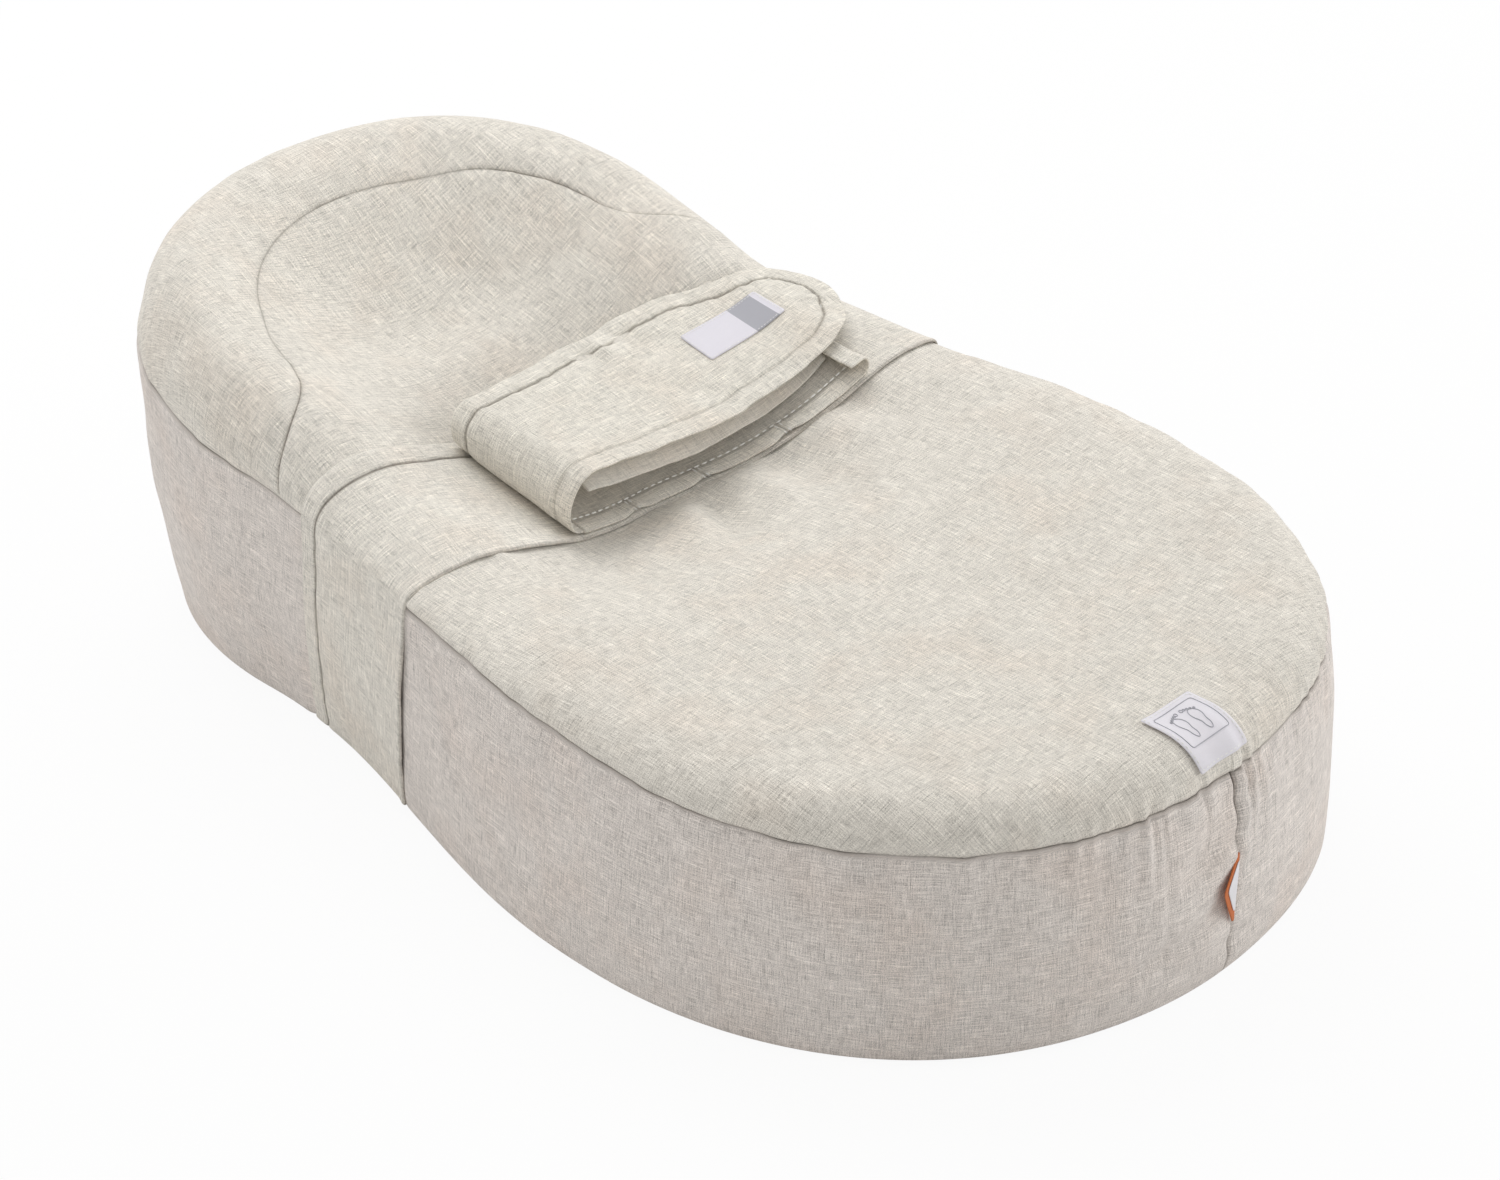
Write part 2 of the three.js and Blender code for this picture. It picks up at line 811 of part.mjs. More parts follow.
function hemPoint(c, inset, z) {
  const outX = c.x + c.dx * c.reach;
  const out = c.reach - wallLean(outX) - baseRound - inset;
  return new THREE.Vector3(c.x + c.dx * out, c.dy * out, z + baseLift(c.x));
}

function ringGrid(path) {
  const grid = [];
  for (let k = 0; k <= allColumns; k += 1) {
    const c = column(k % allColumns);
    grid.push(path.map(([inset, z]) => hemPoint(c, inset, z)));
  }
  return grid;
}

const hemPath = [
  [layerGap, hemMiddle],
  [hemReach - casingDepth, hemMiddle],
  [hemReach, hemMiddle],
  [hemReach + hemTurn, hemMiddle + hemTurn],
  [hemReach, casingTop],
  [hemReach - casingDepth, casingTop],
];
add("sheet_hem", clothOnGrid(ringGrid(hemPath), hemThickness), linenSide, 0.9);

const elasticZ = (hemMiddle + casingTop) / 2;
const elasticPath = [
  [hemReach - elasticWidth - hemTurn, elasticZ],
  [hemReach - hemTurn, elasticZ],
];
add("hem_elastic", clothOnGrid(ringGrid(elasticPath), elasticThickness), tapeGrey, 0.8);

// Waist band: one closed loop over the top, down both walls and under the base

const bandIn = bandGap;
const bandOut = bandIn + bandThickness;

// Place of a length along the middle stretch among the columns of the near half
function columnAt(x) {
  const next = stationsX.findIndex((s) => s >= x);
  const n = Math.max(1, next);
  const share = (x - stationsX[n - 1]) / (stationsX[n] - stationsX[n - 1]);
  return headFanSteps + n - 1 + share;
}

function loopPoint(grid, x, row) {
  const k = columnAt(x);
  const place = row < 0 ? k : allColumns - k;
  return sampleGrid(grid, [place], [Math.abs(row)])[0][0];
}

// Row of the top, negative on the near side, that lies at a distance across from the middle
function rowAt(x, y) {
  const inner = halfWidth(x) - shoulder(x);
  const across = Math.abs(y);
  const row =
    across <= inner
      ? (topRows * across) / inner
      : topRows + (shoulderRows * Math.asin(clamp01((across - inner) / shoulder(x)))) / quarterTurn;
  return Math.sign(y) * row;
}

// The band is askew: its top lies further to the feet than its base, most of all on the far side
const turnNearRow = rowAt(waistMiddleX, bandTurnNearY);
const turnFarRow = rowAt(waistMiddleX, bandTurnFarY);

function bandShift(row) {
  const turn = ease((row - turnNearRow) / (turnFarRow - turnNearRow));
  const down = ease((Math.abs(row) - seamRow) / (baseRow - seamRow));
  const baseShift = mix(bandNearBaseShift, bandFarBaseShift, turn);
  return mix(mix(bandNearShift, bandFarShift, turn), baseShift, down);
}

const bandRows = placesBetween(-baseRow, baseRow);
const bandSteps = 6;
const bandXs = steps(bandFootEdgeX, bandHeadEdgeX, bandSteps);

function bandPoint(grid, x, row) {
  return loopPoint(grid, x + bandShift(row), row);
}

function bandLoop(distance) {
  const grid = layer(distance);
  return bandXs.map((x) => {
    const line = bandRows.map((row) => bandPoint(grid, x, row));
    return [...line, line[0].clone()];
  });
}

add("waist_band", clothBetween(bandLoop(bandOut), bandLoop(bandIn)), linenTop, 0.9);

// Belt base: lies on the band from near its middle to the far rim, where its end curls up

const beltXs = [bandFootEdgeX - beltInset / 2, ...bandXs.slice(1, -1), bandHeadEdgeX + beltInset];
const beltMid = bandOut + beltBaseGap + beltBaseThickness / 2;

function surfaceLine(x, fromY, toY, distance) {
  const rows = placesBetween(rowAt(x, fromY), rowAt(x, toY));
  return rows.map((row) => bandPoint(layer(distance), x, row));
}

const curlShares = steps(0, 1, 4).slice(1);

// The curl opens towards the feet
function curlShare(x) {
  const open = clamp01((x - bandHeadEdgeX) / bandWidth);
  return mix(curlAtHeadShare, 1, open ** curlOpenPower);
}

function beltBaseLine(x) {
  const line = surfaceLine(x, beltNearY, beltFarY, beltMid);
  const end = line[line.length - 1];
  const along = end.clone().sub(line[line.length - 2]).setX(0).normalize();
  const up = new THREE.Vector3(0, -along.z, along.y);
  const radius = beltCurlRadius * curlShare(x);
  for (const share of curlShares) {
    const a = share * Math.PI;
    const p = end.clone().addScaledVector(along, radius * Math.sin(a));
    line.push(p.addScaledVector(up, radius * (1 - Math.cos(a))));
  }
  line.push(line[line.length - 1].clone().addScaledVector(along, -beltCurlReturn));
  return line;
}

const beltBaseGrid = beltXs.map((x) => beltBaseLine(x));
add("belt_base", clothOnGrid(beltBaseGrid, beltBaseThickness), linenTop, 0.9);

// Leaf of the belt: spans the hollow, passes over the curl and ends round on the far rim

const leafMiddleX = (leafHeadX + leafFootX) / 2;
const leafHalf = (leafFootX - leafHeadX) / 2;
const leafFootZ = rimHeight(leafFootX) + leafOverFootRim;
const leafHeadZ = rimHeight(leafHeadX) - leafUnderHeadRim;
const leafLowY = waistSideY - leafLowToSide;
const leafLowReach = leafLowY - leafNearY;

// The foot edge sags in the middle and the head edge is a little crowned
function leafHeight(x, y) {
  const toFoot = (x - leafHeadX) / (leafFootX - leafHeadX);
  const across = clamp01(Math.abs(y - leafLowY) / leafLowReach) ** leafSagPower;
  const sag = mix(-leafHeadCrown, leafFootSag, toFoot) * (1 - across);
  const hump = leafHump * curlShare(x) * Math.exp(-(((y - leafHumpY) / leafHumpReach) ** 2));
  const droop = leafDroop * ease((y - leafHumpY) / (leafEndY - leafHumpY));
  return mix(leafHeadZ, leafFootZ, toFoot) - sag + hump - droop;
}

// The head side tapers a little before the round end begins
function leafHalfAt(y, side) {
  const round = clamp01((y - leafRoundFromY) / (leafEndY - leafRoundFromY));
  const half = leafHalf * Math.sqrt(1 - round * round);
  const tapered = leafHalf - leafTaperShare * Math.max(0, y - leafTaperFromY);
  return side < 0 ? Math.min(half, tapered) : half;
}

const leafShares = steps(1, -1, 6);
const leafEndAngles = steps(0, quarterTurn, 6).slice(1);
const leafYs = [
  ...steps(leafNearY, leafRoundFromY, 7),
  ...leafEndAngles.map((a) => mix(leafRoundFromY, leafEndY, Math.sin(a))),
];

function leafGrid() {
  return leafShares.map((share) =>
    leafYs.map((y) => {
      const x = leafMiddleX + share * leafHalfAt(y, share);
      return new THREE.Vector3(x, y, leafHeight(x, y));
    }),
  );
}

const leafMid = leafGrid();
add("belt_leaf", clothOnGrid(leafMid, leafThickness), linenTop, 0.9);

// Places on the leaf's grid of a share across it and of a distance along it
function leafColumn(x) {
  return ((leafFootX - x) / (leafFootX - leafHeadX)) * (leafShares.length - 1);
}

function leafRow(y) {
  const next = leafYs.findIndex((value) => value >= y);
  return next - 1 + (y - leafYs[next - 1]) / (leafYs[next] - leafYs[next - 1]);
}

function patchOnLeaf(fromX, toX, fromY, toY, rise, thickness) {
  const is = placesBetween(leafColumn(toX), leafColumn(fromX));
  const js = placesBetween(leafRow(fromY), leafRow(toY));
  return clothOnGrid(sampleGrid(offsetGrid(leafMid, rise), is, js), thickness);
}

// Lining of the leaf, hanging a little below it
const liningDrop = leafThickness / 2 + liningGap + liningThickness / 2;
const liningXs = steps(leafHeadX + liningInset, leafFootX - liningInset, 4);
const liningYs = steps(leafNearY + liningInset, liningFarY, 6);
const liningGrid = liningXs.map((x) =>
  liningYs.map((y) => new THREE.Vector3(x, y, leafHeight(x, y) - liningDrop)),
);
add("belt_leaf_lining", clothOnGrid(liningGrid, liningThickness), linenTop, 0.9);

// Fold at the near end, between the base and the leaf
const foldTurns = steps(-1, 1, 8);
const foldStart = beltNearY - layerGap;

function foldLine(x, i) {
  const low = surfaceLine(x, foldStart, 0, beltMid)[0];
  const highX = mix(leafFootX, leafHeadX, i / (beltXs.length - 1));
  const highY = leafNearY - foldToLeafGap;
  const highZ = leafHeight(highX, leafNearY);
  return foldTurns.map((turn) => {
    const a = turn * quarterTurn;
    const rise = (Math.sin(a) + 1) / 2;
    const y = mix(low.y, highY, rise) - foldBulge * Math.cos(a);
    return new THREE.Vector3(mix(low.x, highX, rise), y, mix(low.z, highZ, rise));
  });
}

add("belt_fold", clothOnGrid(beltXs.map((x, i) => foldLine(x, i)), leafThickness), linenTop, 0.9);

// Hook patch under the end of the leaf, and the loop patch that it lands on

const hookDrop = leafThickness / 2 + layerGap + patchThickness / 2;
const patchHeadX = leafMiddleX - patchWidth / 2;
const patchFootX = leafMiddleX + patchWidth / 2;
const hookPatch = patchOnLeaf(patchHeadX, patchFootX, patchNearY, patchFarY, -hookDrop, patchThickness);
add("belt_hook_patch", hookPatch, hookGrey, 0.9);

const loopMid = bandOut + layerGap + patchThickness / 2;
const loopHeadX = patchHeadX - bandFarShift;
const loopFootX = patchFootX - bandFarShift;
const loopXs = [loopFootX, ...bandXs.filter((x) => x > loopHeadX && x < loopFootX), loopHeadX];
const patchRows = placesBetween(rowAt(patchFootX, patchNearY), rowAt(patchFootX, patchFarY));
const loopGrid = loopXs.map((x) => patchRows.map((row) => bandPoint(layer(loopMid), x, row)));
add("band_loop_patch", clothOnGrid(loopGrid, patchThickness), hookGrey, 0.9);

// Labels and the folded tag

const labelRise = labelGap + labelThickness / 2;
const beltLabelHeadX = leafHeadX + beltLabelFromEdge;
const beltLabel = patchOnLeaf(
  beltLabelHeadX,
  beltLabelHeadX + beltLabelWidth,
  beltLabelNearY,
  beltLabelNearY + beltLabelLength,
  leafThickness / 2 + labelRise,
  labelThickness,
);
add("belt_label", beltLabel, labelWhite, 0.7);

// The foot label lies on the top panel, its long side away from the seam
function footLabelGrid() {
  const line = nest[halfColumns];
  const rowAtX = (x) => {
    const next = line.findIndex((p) => p.x >= x);
    return next - 1 + (x - line[next - 1].x) / (line[next].x - line[next - 1].x);
  };
  const outerX = nestLength / 2 - footLabelToSeam;
  const rows = placesBetween(rowAtX(outerX - footLabelTop), rowAtX(outerX));
  const columnWidth = nest[halfColumns][seamRow].distanceTo(nest[halfColumns + 1][seamRow]);
  const reach = footLabelWidth / 2 / columnWidth;
  const middle = halfColumns - footLabelAside / columnWidth;
  const is = placesBetween(middle - reach, middle + reach);
  return sampleGrid(layer(labelRise), is, rows);
}

add("foot_label", clothOnGrid(footLabelGrid(), labelThickness), labelWhite, 0.7);

// Tag: a folded ribbon with its long edge in the foot seam, and a pale panel on its face

function wallPoint(z) {
  const wall = nest[halfColumns];
  const next = wall.findIndex((p, row) => row > seamRow && p.z <= z);
  const above = wall[next - 1];
  return above.clone().lerp(wall[next], (above.z - z) / (above.z - wall[next].z));
}

// The tag reaches out in a curve up to its corner and falls back straight to the seam
function tagReachAt(rise) {
  if (rise < tagCornerRise) {
    return mix(tagTipReach, tagReach, Math.sin((rise / tagCornerRise) * quarterTurn));
  }
  return mix(tagReach, tagTipReach, (rise - tagCornerRise) / (tagHeight - tagCornerRise));
}

function tagGrid(inset, forward) {
  const along = new THREE.Vector3(Math.cos(tagTurn), -Math.sin(tagTurn), 0);
  const ahead = new THREE.Vector3(Math.sin(tagTurn), Math.cos(tagTurn), 0);
  const upper = steps(tagCornerRise, tagHeight - inset, 2).slice(1);
  return [...steps(inset, tagCornerRise, 4), ...upper].map((rise) => {
    const root = wallPoint(tagFromBase + rise);
    root.x += tagThickness / 2 + layerGap;
    root.addScaledVector(ahead, forward);
    const tip = Math.max(tagReachAt(rise) - inset, 2 * inset);
    return [inset, tip].map((reach) => root.clone().addScaledVector(along, reach));
  });
}

add("side_tag", clothOnGrid(tagGrid(0, 0), tagThickness), tagOrange, 0.6);
const panelForward = tagThickness / 2 + layerGap + tagPanelThickness / 2;
add("side_tag_panel", clothOnGrid(tagGrid(tagBorder, panelForward), tagPanelThickness), labelWhite, 0.6);

// The origin is at the middle of the whole lounger's base
lounger.updateMatrixWorld(true);
const whole = new THREE.Box3().setFromObject(lounger, true);
const middle = whole.getCenter(new THREE.Vector3());
lounger.position.set(-middle.x, -middle.y, -whole.min.z);

export default lounger;
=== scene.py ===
# %% [markdown]
# # An infant lounger in linen
#
# This is a low nest for a young baby: a foam core in a fitted linen sheet, with a band
# round its waist and a belt folded over the tummy. The solids of every piece are packed
# already. They give each piece its place and size, but their cloth is flat and faceted.
# This lesson builds the cloth itself: smooth panels with seams and puckers, hems,
# stitches and labels, and linen that shows its threads.
#
# The solids are loaded first. Everything after this is in their frame: the head lies at
# -X, the feet at +X, and +Z is up. The shapes are worked out in millimetres and turned
# into metres when a mesh is made.

import math

import bmesh
import bpy
import numpy as np
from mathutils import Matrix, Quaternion, Vector, noise
from mathutils.geometry import delaunay_2d_cdt


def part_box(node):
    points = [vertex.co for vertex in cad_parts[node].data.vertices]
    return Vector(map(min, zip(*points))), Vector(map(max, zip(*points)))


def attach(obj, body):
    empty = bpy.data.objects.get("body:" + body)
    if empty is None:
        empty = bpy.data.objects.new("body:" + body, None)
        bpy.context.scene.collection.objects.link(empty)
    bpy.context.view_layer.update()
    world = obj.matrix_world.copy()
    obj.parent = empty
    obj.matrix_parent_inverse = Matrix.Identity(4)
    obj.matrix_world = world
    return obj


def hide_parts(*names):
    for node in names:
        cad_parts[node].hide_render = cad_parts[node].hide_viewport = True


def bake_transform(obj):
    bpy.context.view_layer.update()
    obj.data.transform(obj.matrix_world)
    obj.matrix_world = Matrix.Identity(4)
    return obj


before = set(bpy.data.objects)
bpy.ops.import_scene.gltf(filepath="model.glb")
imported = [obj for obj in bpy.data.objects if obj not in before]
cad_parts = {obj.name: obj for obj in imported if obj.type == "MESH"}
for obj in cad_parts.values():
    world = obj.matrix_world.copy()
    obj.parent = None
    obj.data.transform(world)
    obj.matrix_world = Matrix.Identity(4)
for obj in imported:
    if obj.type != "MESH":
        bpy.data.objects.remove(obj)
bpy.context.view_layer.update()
mm = 0.001

# %% [markdown]
# ## The camera
#
# The camera comes first, because every later look at the lounger goes through it. A long
# lens from about two and a half metres away, on a sensor 36 mm wide, gives the calm, nearly
# parallel look of a catalogue picture. The camera is turned by a hair round its own axis.

# %% Camera
camera_place = Vector((1443.4, -1585.8, 1467.3)) * mm
camera_target = Vector((8.8, 18.6, 66.5)) * mm
camera_roll = math.radians(0.83)
camera_lens = 114.8


def add_object(name, data):
    made = bpy.data.objects.new(name, data)
    bpy.context.collection.objects.link(made)
    return made


camera = add_object("camera", bpy.data.cameras.new("camera"))
camera.data.lens = camera_lens
camera.data.clip_end = 30
camera.location = camera_place
look = (camera_target - camera_place).to_track_quat("-Z", "Y")
camera.rotation_euler = (look @ Quaternion((0, 0, 1), camera_roll)).to_euler()
bpy.context.scene.camera = camera
bpy.context.scene.view_settings.view_transform = "Standard"
print("camera", round((camera_target - camera_place).length, 2), "m away")

# %% [markdown]
# ## The studio
#
# Catalogue pictures of pale cloth are lit by big soft lamps on a white ground: here one
# from above and a little behind, a weaker one from the front and one from the right, with
# the room as fill. A big area lamp gives shadows with wide soft edges, so folds and
# puckers still read. The ground is white only for rays that come
# straight from the camera or off something glossy, and it keeps the faint shadow under
# the lounger. The light itself stays plain.

# %% Studio light and floor
room_light = 0.58
lamp_size = 1.5
lamps = {
    "main_lamp": (Vector((-1.05, 0.55, 1.75)), 22.0),
    "fill_lamp": (Vector((-1.5, -2.2, 0.9)), 9.0),
    "right_lamp": (Vector((1.9, 2.1, 0.8)), 26.0),
}
floor_white = 0.93


def feed(tree, socket, value):
    """Link a socket to another one, or give it a plain value"""
    if isinstance(value, bpy.types.NodeSocket):
        tree.links.new(value, socket)
    else:
        socket.default_value = value


def math_node(tree, operation, *given):
    made = tree.nodes.new("ShaderNodeMath")
    made.operation = operation
    for socket, value in zip(made.inputs, given):
        feed(tree, socket, value)
    return made.outputs[0]


def seen_straight(tree):
    """One for rays from the camera, or off and through glossy things"""
    path = tree.nodes.new("ShaderNodeLightPath").outputs
    glossy = math_node(tree, "MAXIMUM", path["Is Glossy Ray"], path["Is Transmission Ray"])
    return math_node(tree, "MAXIMUM", path["Is Camera Ray"], glossy)


def light_node(tree, kind, colour, strength=None):
    made = tree.nodes.new(kind)
    made.inputs["Color"].default_value = (*colour, 1.0)
    if strength is not None:
        made.inputs["Strength"].default_value = strength
    return made.outputs[0]


def two_sided(tree, share, lit, seen, output):
    """Light that falls one way on the lounger and looks another way to the camera"""
    blend = tree.nodes.new("ShaderNodeMixShader")
    for socket, value in zip(blend.inputs, (share, lit, seen)):
        tree.links.new(value, socket)
    tree.links.new(blend.outputs[0], tree.nodes.new(output).inputs[0])


world = bpy.data.worlds.new("studio")
bpy.context.scene.world = world
world.use_nodes = True
tree = world.node_tree
tree.nodes.clear()
room = light_node(tree, "ShaderNodeBackground", (1.0, 0.99, 0.975), room_light)
backdrop = light_node(tree, "ShaderNodeBackground", (1.0, 1.0, 1.0), 1.0)
two_sided(tree, seen_straight(tree), room, backdrop, "ShaderNodeOutputWorld")

for name, (place, power) in lamps.items():
    lamp = add_object(name, bpy.data.lights.new(name, "AREA"))
    lamp.data.shape = "SQUARE"
    lamp.data.size = lamp_size
    lamp.data.energy = power
    lamp.location = place
    aim = Vector((0.0, 0.0, 0.1)) - place
    lamp.rotation_euler = aim.to_track_quat("-Z", "Y").to_euler()

floor_mesh = bpy.data.meshes.new("floor")
floor_mesh.from_pydata([(-6, -6, 0), (6, -6, 0), (6, 6, 0), (-6, 6, 0)], [], [(0, 1, 2, 3)])
floor = add_object("floor", floor_mesh)
floor.location.z = -0.0004
floor_material = bpy.data.materials.new("pale floor")
floor_material.use_nodes = True
tree = floor_material.node_tree
tree.nodes.clear()
paper = light_node(tree, "ShaderNodeBsdfDiffuse", (0.86, 0.86, 0.86))
glow = light_node(tree, "ShaderNodeEmission", (1.0, 1.0, 1.0), 1.0)
share = math_node(tree, "MULTIPLY", seen_straight(tree), floor_white)
two_sided(tree, share, paper, glow, "ShaderNodeOutputMaterial")
floor_mesh.materials.append(floor_material)
print("studio ready,", len(lamps), "lamps, room", room_light)

# %% [markdown]
# ## Linen
#
# Linen is woven from uneven yarn. Every thread is a little thicker or thinner than the
# next, some have slubs, and the light and dark threads cross as fine streaks. Dye takes
# unevenly too, so the cloth has warm and pale patches as wide as a hand. A picture of
# cloth would blur and repeat, so the weave is worked out from noise stretched along the
# threads: once along the warp, once along the weft, and once more for the slubs.
#
# More than one finish needs this, so it is a node group. It puts out a colour, a height
# for the bump and a roughness, and each material puts in its own colour and strengths.

# %% The linen node group
def vector_node(tree, operation, first, second):
    made = tree.nodes.new("ShaderNodeVectorMath")
    made.operation = operation
    feed(tree, made.inputs[0], first)
    feed(tree, made.inputs["Scale"] if operation == "SCALE" else made.inputs[1], second)
    return made.outputs[0]


def cloud_node(tree, vector, scale, detail=1.0, kind="2D"):
    made = tree.nodes.new("ShaderNodeTexNoise")
    made.noise_dimensions = kind
    made.inputs["Scale"].default_value = scale
    made.inputs["Detail"].default_value = detail
    made.inputs["Roughness"].default_value = 0.6
    tree.links.new(vector, made.inputs["Vector"])
    return made.outputs["Fac"]


def range_node(tree, value, low, high, to_low=0.0, to_high=1.0):
    made = tree.nodes.new("ShaderNodeMapRange")
    tree.links.new(value, made.inputs["Value"])
    made.inputs["From Min"].default_value = low
    made.inputs["From Max"].default_value = high
    made.inputs["To Min"].default_value = to_low
    made.inputs["To Max"].default_value = to_high
    return made.outputs["Result"]


def blend_node(tree, amount, first, second, way="MIX"):
    """Two colours mixed, or multiplied, by an amount"""
    made = tree.nodes.new("ShaderNodeMix")
    made.data_type = "RGBA"
    made.blend_type = way
    for socket, value in (("Factor", amount), (6, first), (7, second)):
        feed(tree, made.inputs[socket], value)
    return made.outputs[2]


def add_sockets(group, way, sockets):
    for name, kind in sockets:
        group.interface.new_socket(name=name, in_out=way, socket_type="NodeSocket" + kind)


threads = bpy.data.node_groups.new("linen threads", "ShaderNodeTree")
add_sockets(threads, "INPUT", (
    ("Vector", "Vector"), ("Colour", "Color"), ("Thread pitch", "Float"),
    ("Streaks", "Float"), ("Patches", "Float"),
))
add_sockets(threads, "OUTPUT", (("Colour", "Color"), ("Height", "Float"), ("Roughness", "Float")))
given = threads.nodes.new("NodeGroupInput")
result = threads.nodes.new("NodeGroupOutput")
per_thread = math_node(threads, "DIVIDE", 1.0, given.outputs["Thread pitch"])
counted = vector_node(threads, "SCALE", given.outputs["Vector"], per_thread)
# Noise stretched along the warp, the weft and their slubs, with its detail
warp, weft, slub_warp, slub_weft = (
    cloud_node(threads, vector_node(threads, "MULTIPLY", counted, stretch), 1.0, detail)
    for stretch, detail in (
        ((0.06, 1.15, 1.0), 2.0), ((1.15, 0.07, 1.0), 2.0),
        ((0.022, 1.3, 1.0), 1.0), ((1.3, 0.028, 1.0), 1.0),
    )
)
slubs_light = range_node(threads, slub_warp, 0.56, 0.74)
slubs_dark = range_node(threads, slub_weft, 0.6, 0.78)
patches = cloud_node(threads, given.outputs["Vector"], 24.0, 4.0, "3D")
warmth = cloud_node(threads, given.outputs["Vector"], 15.0, 3.0, "3D")
grain = cloud_node(threads, counted, 1.1, 0.0)
warp_off, weft_off, grain_off, patches_off = (
    math_node(threads, "SUBTRACT", part, 0.5) for part in (warp, weft, grain, patches)
)
both = math_node(threads, "ADD", warp_off, weft_off)
woven = math_node(threads, "MULTIPLY_ADD", grain_off, 0.8, both)
slub_shade = math_node(threads, "SUBTRACT", slubs_light, slubs_dark)
slubs = math_node(threads, "MULTIPLY_ADD", slub_shade, 0.3, woven)
streaks = math_node(threads, "MULTIPLY", slubs, given.outputs["Streaks"])
patched = math_node(threads, "MULTIPLY", patches_off, given.outputs["Patches"])
shade = math_node(threads, "ADD", math_node(threads, "ADD", streaks, patched), 1.0)
shaded = vector_node(threads, "SCALE", given.outputs["Colour"], shade)
warm = range_node(threads, warmth, 0.48, 0.68)
warmed = blend_node(threads, warm, shaded, (1.0, 0.972, 0.955, 1.0), "MULTIPLY")
threads.links.new(warmed, result.inputs["Colour"])
threads.links.new(math_node(threads, "ADD", slubs, 0.5), result.inputs["Height"])
threads.links.new(math_node(threads, "MULTIPLY_ADD", woven, 0.2, 0.86), result.inputs["Roughness"])
print("linen group with", len(threads.nodes), "nodes")

# %% [markdown]
# ## Cloth finishes
#
# Each cloth material keeps its own shader and puts the group in front of it. The threads
# follow the cloth and not the room, so they read a map named cloth that every piece gets
# with its mesh: how far along and how far across its own weave each point lies, in metres.
# The sides of the sheet are cut from the same roll as its top, but are given a colour a little
# darker and pinker: partly a pinker tone, partly painted shade for walls that stand away from
# the light. Hems are three layers thick, so they look a little paler and crisper. Shade that
# falls in pressed seams and in gaps under edges is painted into the colour: each piece gives,
# in a point attribute, how much painted shade lies at each point, and the finish darkens
# the colour by that much.

# %% Cloth materials
def new_finish(name):
    material = bpy.data.materials.new(name)
    material.use_nodes = True
    tree = material.node_tree
    return material, tree, tree.nodes["Principled BSDF"]


def add_bump(tree, shader, height, distance, strength=1.0):
    bump = tree.nodes.new("ShaderNodeBump")
    bump.inputs["Strength"].default_value = strength
    bump.inputs["Distance"].default_value = distance
    tree.links.new(height, bump.inputs["Height"])
    tree.links.new(bump.outputs["Normal"], shader.inputs["Normal"])


def linen_finish(name, colour, streaks=0.85, patches=0.17, pitch=0.0006, relief=0.0006):
    material, tree, shader = new_finish(name)
    shader.inputs["Sheen Weight"].default_value = 0.08
    shader.inputs["Sheen Roughness"].default_value = 0.6
    shader.inputs["Specular IOR Level"].default_value = 0.2
    cloth_map = tree.nodes.new("ShaderNodeUVMap")
    cloth_map.uv_map = "cloth"
    weave = tree.nodes.new("ShaderNodeGroup")
    weave.node_tree = threads
    tree.links.new(cloth_map.outputs["UV"], weave.inputs["Vector"])
    weave.inputs["Colour"].default_value = (*colour, 1.0)
    weave.inputs["Thread pitch"].default_value = pitch
    weave.inputs["Streaks"].default_value = streaks
    weave.inputs["Patches"].default_value = patches
    add_bump(tree, shader, weave.outputs["Height"], relief, 0.45)
    # Painted shade: a point attribute says how much shade of seams, gaps and edges to paint, and the colour
    # is multiplied towards dark brown by that much
    painted_shade = tree.nodes.new("ShaderNodeAttribute")
    painted_shade.attribute_name = "painted_shade"
    painted_shade_colour = (0.26, 0.24, 0.22, 1.0)
    shaded = blend_node(tree, painted_shade.outputs["Fac"], weave.outputs["Colour"], painted_shade_colour, "MULTIPLY")
    tree.links.new(shaded, shader.inputs["Base Color"])
    tree.links.new(weave.outputs["Roughness"], shader.inputs["Roughness"])
    return material


linen_top = linen_finish("top_linen", (0.735, 0.700, 0.635))
# The side linen is a little darker and pinker than the top linen: partly a pinker tone, and partly painted
# shade for the walls that face away from the lamps
linen_side_shaded = linen_finish("side_linen_shaded", (0.725, 0.674, 0.632))
linen_band = linen_finish("band_linen", (0.750, 0.716, 0.650))
linen_belt = linen_finish("belt_linen", (0.745, 0.712, 0.640))
linen_hem = linen_finish("hem_linen", (0.740, 0.705, 0.645))
lining_cloth = linen_finish("lining_linen", (0.710, 0.675, 0.610), streaks=0.6)
cover_cloth = linen_finish("white_cover", (0.800, 0.800, 0.780), streaks=0.10, patches=0.03, pitch=0.0005)
print("cloth materials", len(bpy.data.materials))

# %% [markdown]
# ## The shape of the nest
#
# The real core is one foam block: a high rounded head, a waist that dips where the band
# pulls it in, a hollow seat and a raised rest under the knees, all inside one rounded rim.
# It could be sculpted, but a sculpted mesh can't be told where a seam lies. So the shape is
# kept as rules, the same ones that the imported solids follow: how wide, how high and how
# round the nest is at each length. Any piece can then ask for a point on it.

# %% Rules for the nest's shape
frame_shift = -7.675
nest_length = 700
head_radius, foot_radius = 174, 213
corner_fullness = 0.023
head_centre = head_radius - nest_length / 2
foot_centre = nest_length / 2 - foot_radius
band_head_edge, band_foot_edge = -126, -33
waist_middle = (band_head_edge + band_foot_edge) / 2


def ease(t):
    c = np.clip(t, 0.0, 1.0)
    return c * c * (3 - 2 * c)


def mix(a, b, t):
    return a + (b - a) * t


def bell(distance, width):
    """One at the middle, and a soft fall to nothing on both sides"""
    return np.exp(-((distance / width) ** 2))


def swell(distance, reach):
    """Nothing at a seam, one at the reach from it, and a slow fall beyond"""
    return (distance / reach) * np.exp(1 - distance / reach)


def heading(turn, side):
    """Direction in the plan for a turn from the foot end, on the near side or the far one"""
    return np.cos(np.radians(turn)), side * np.sin(np.radians(turn))


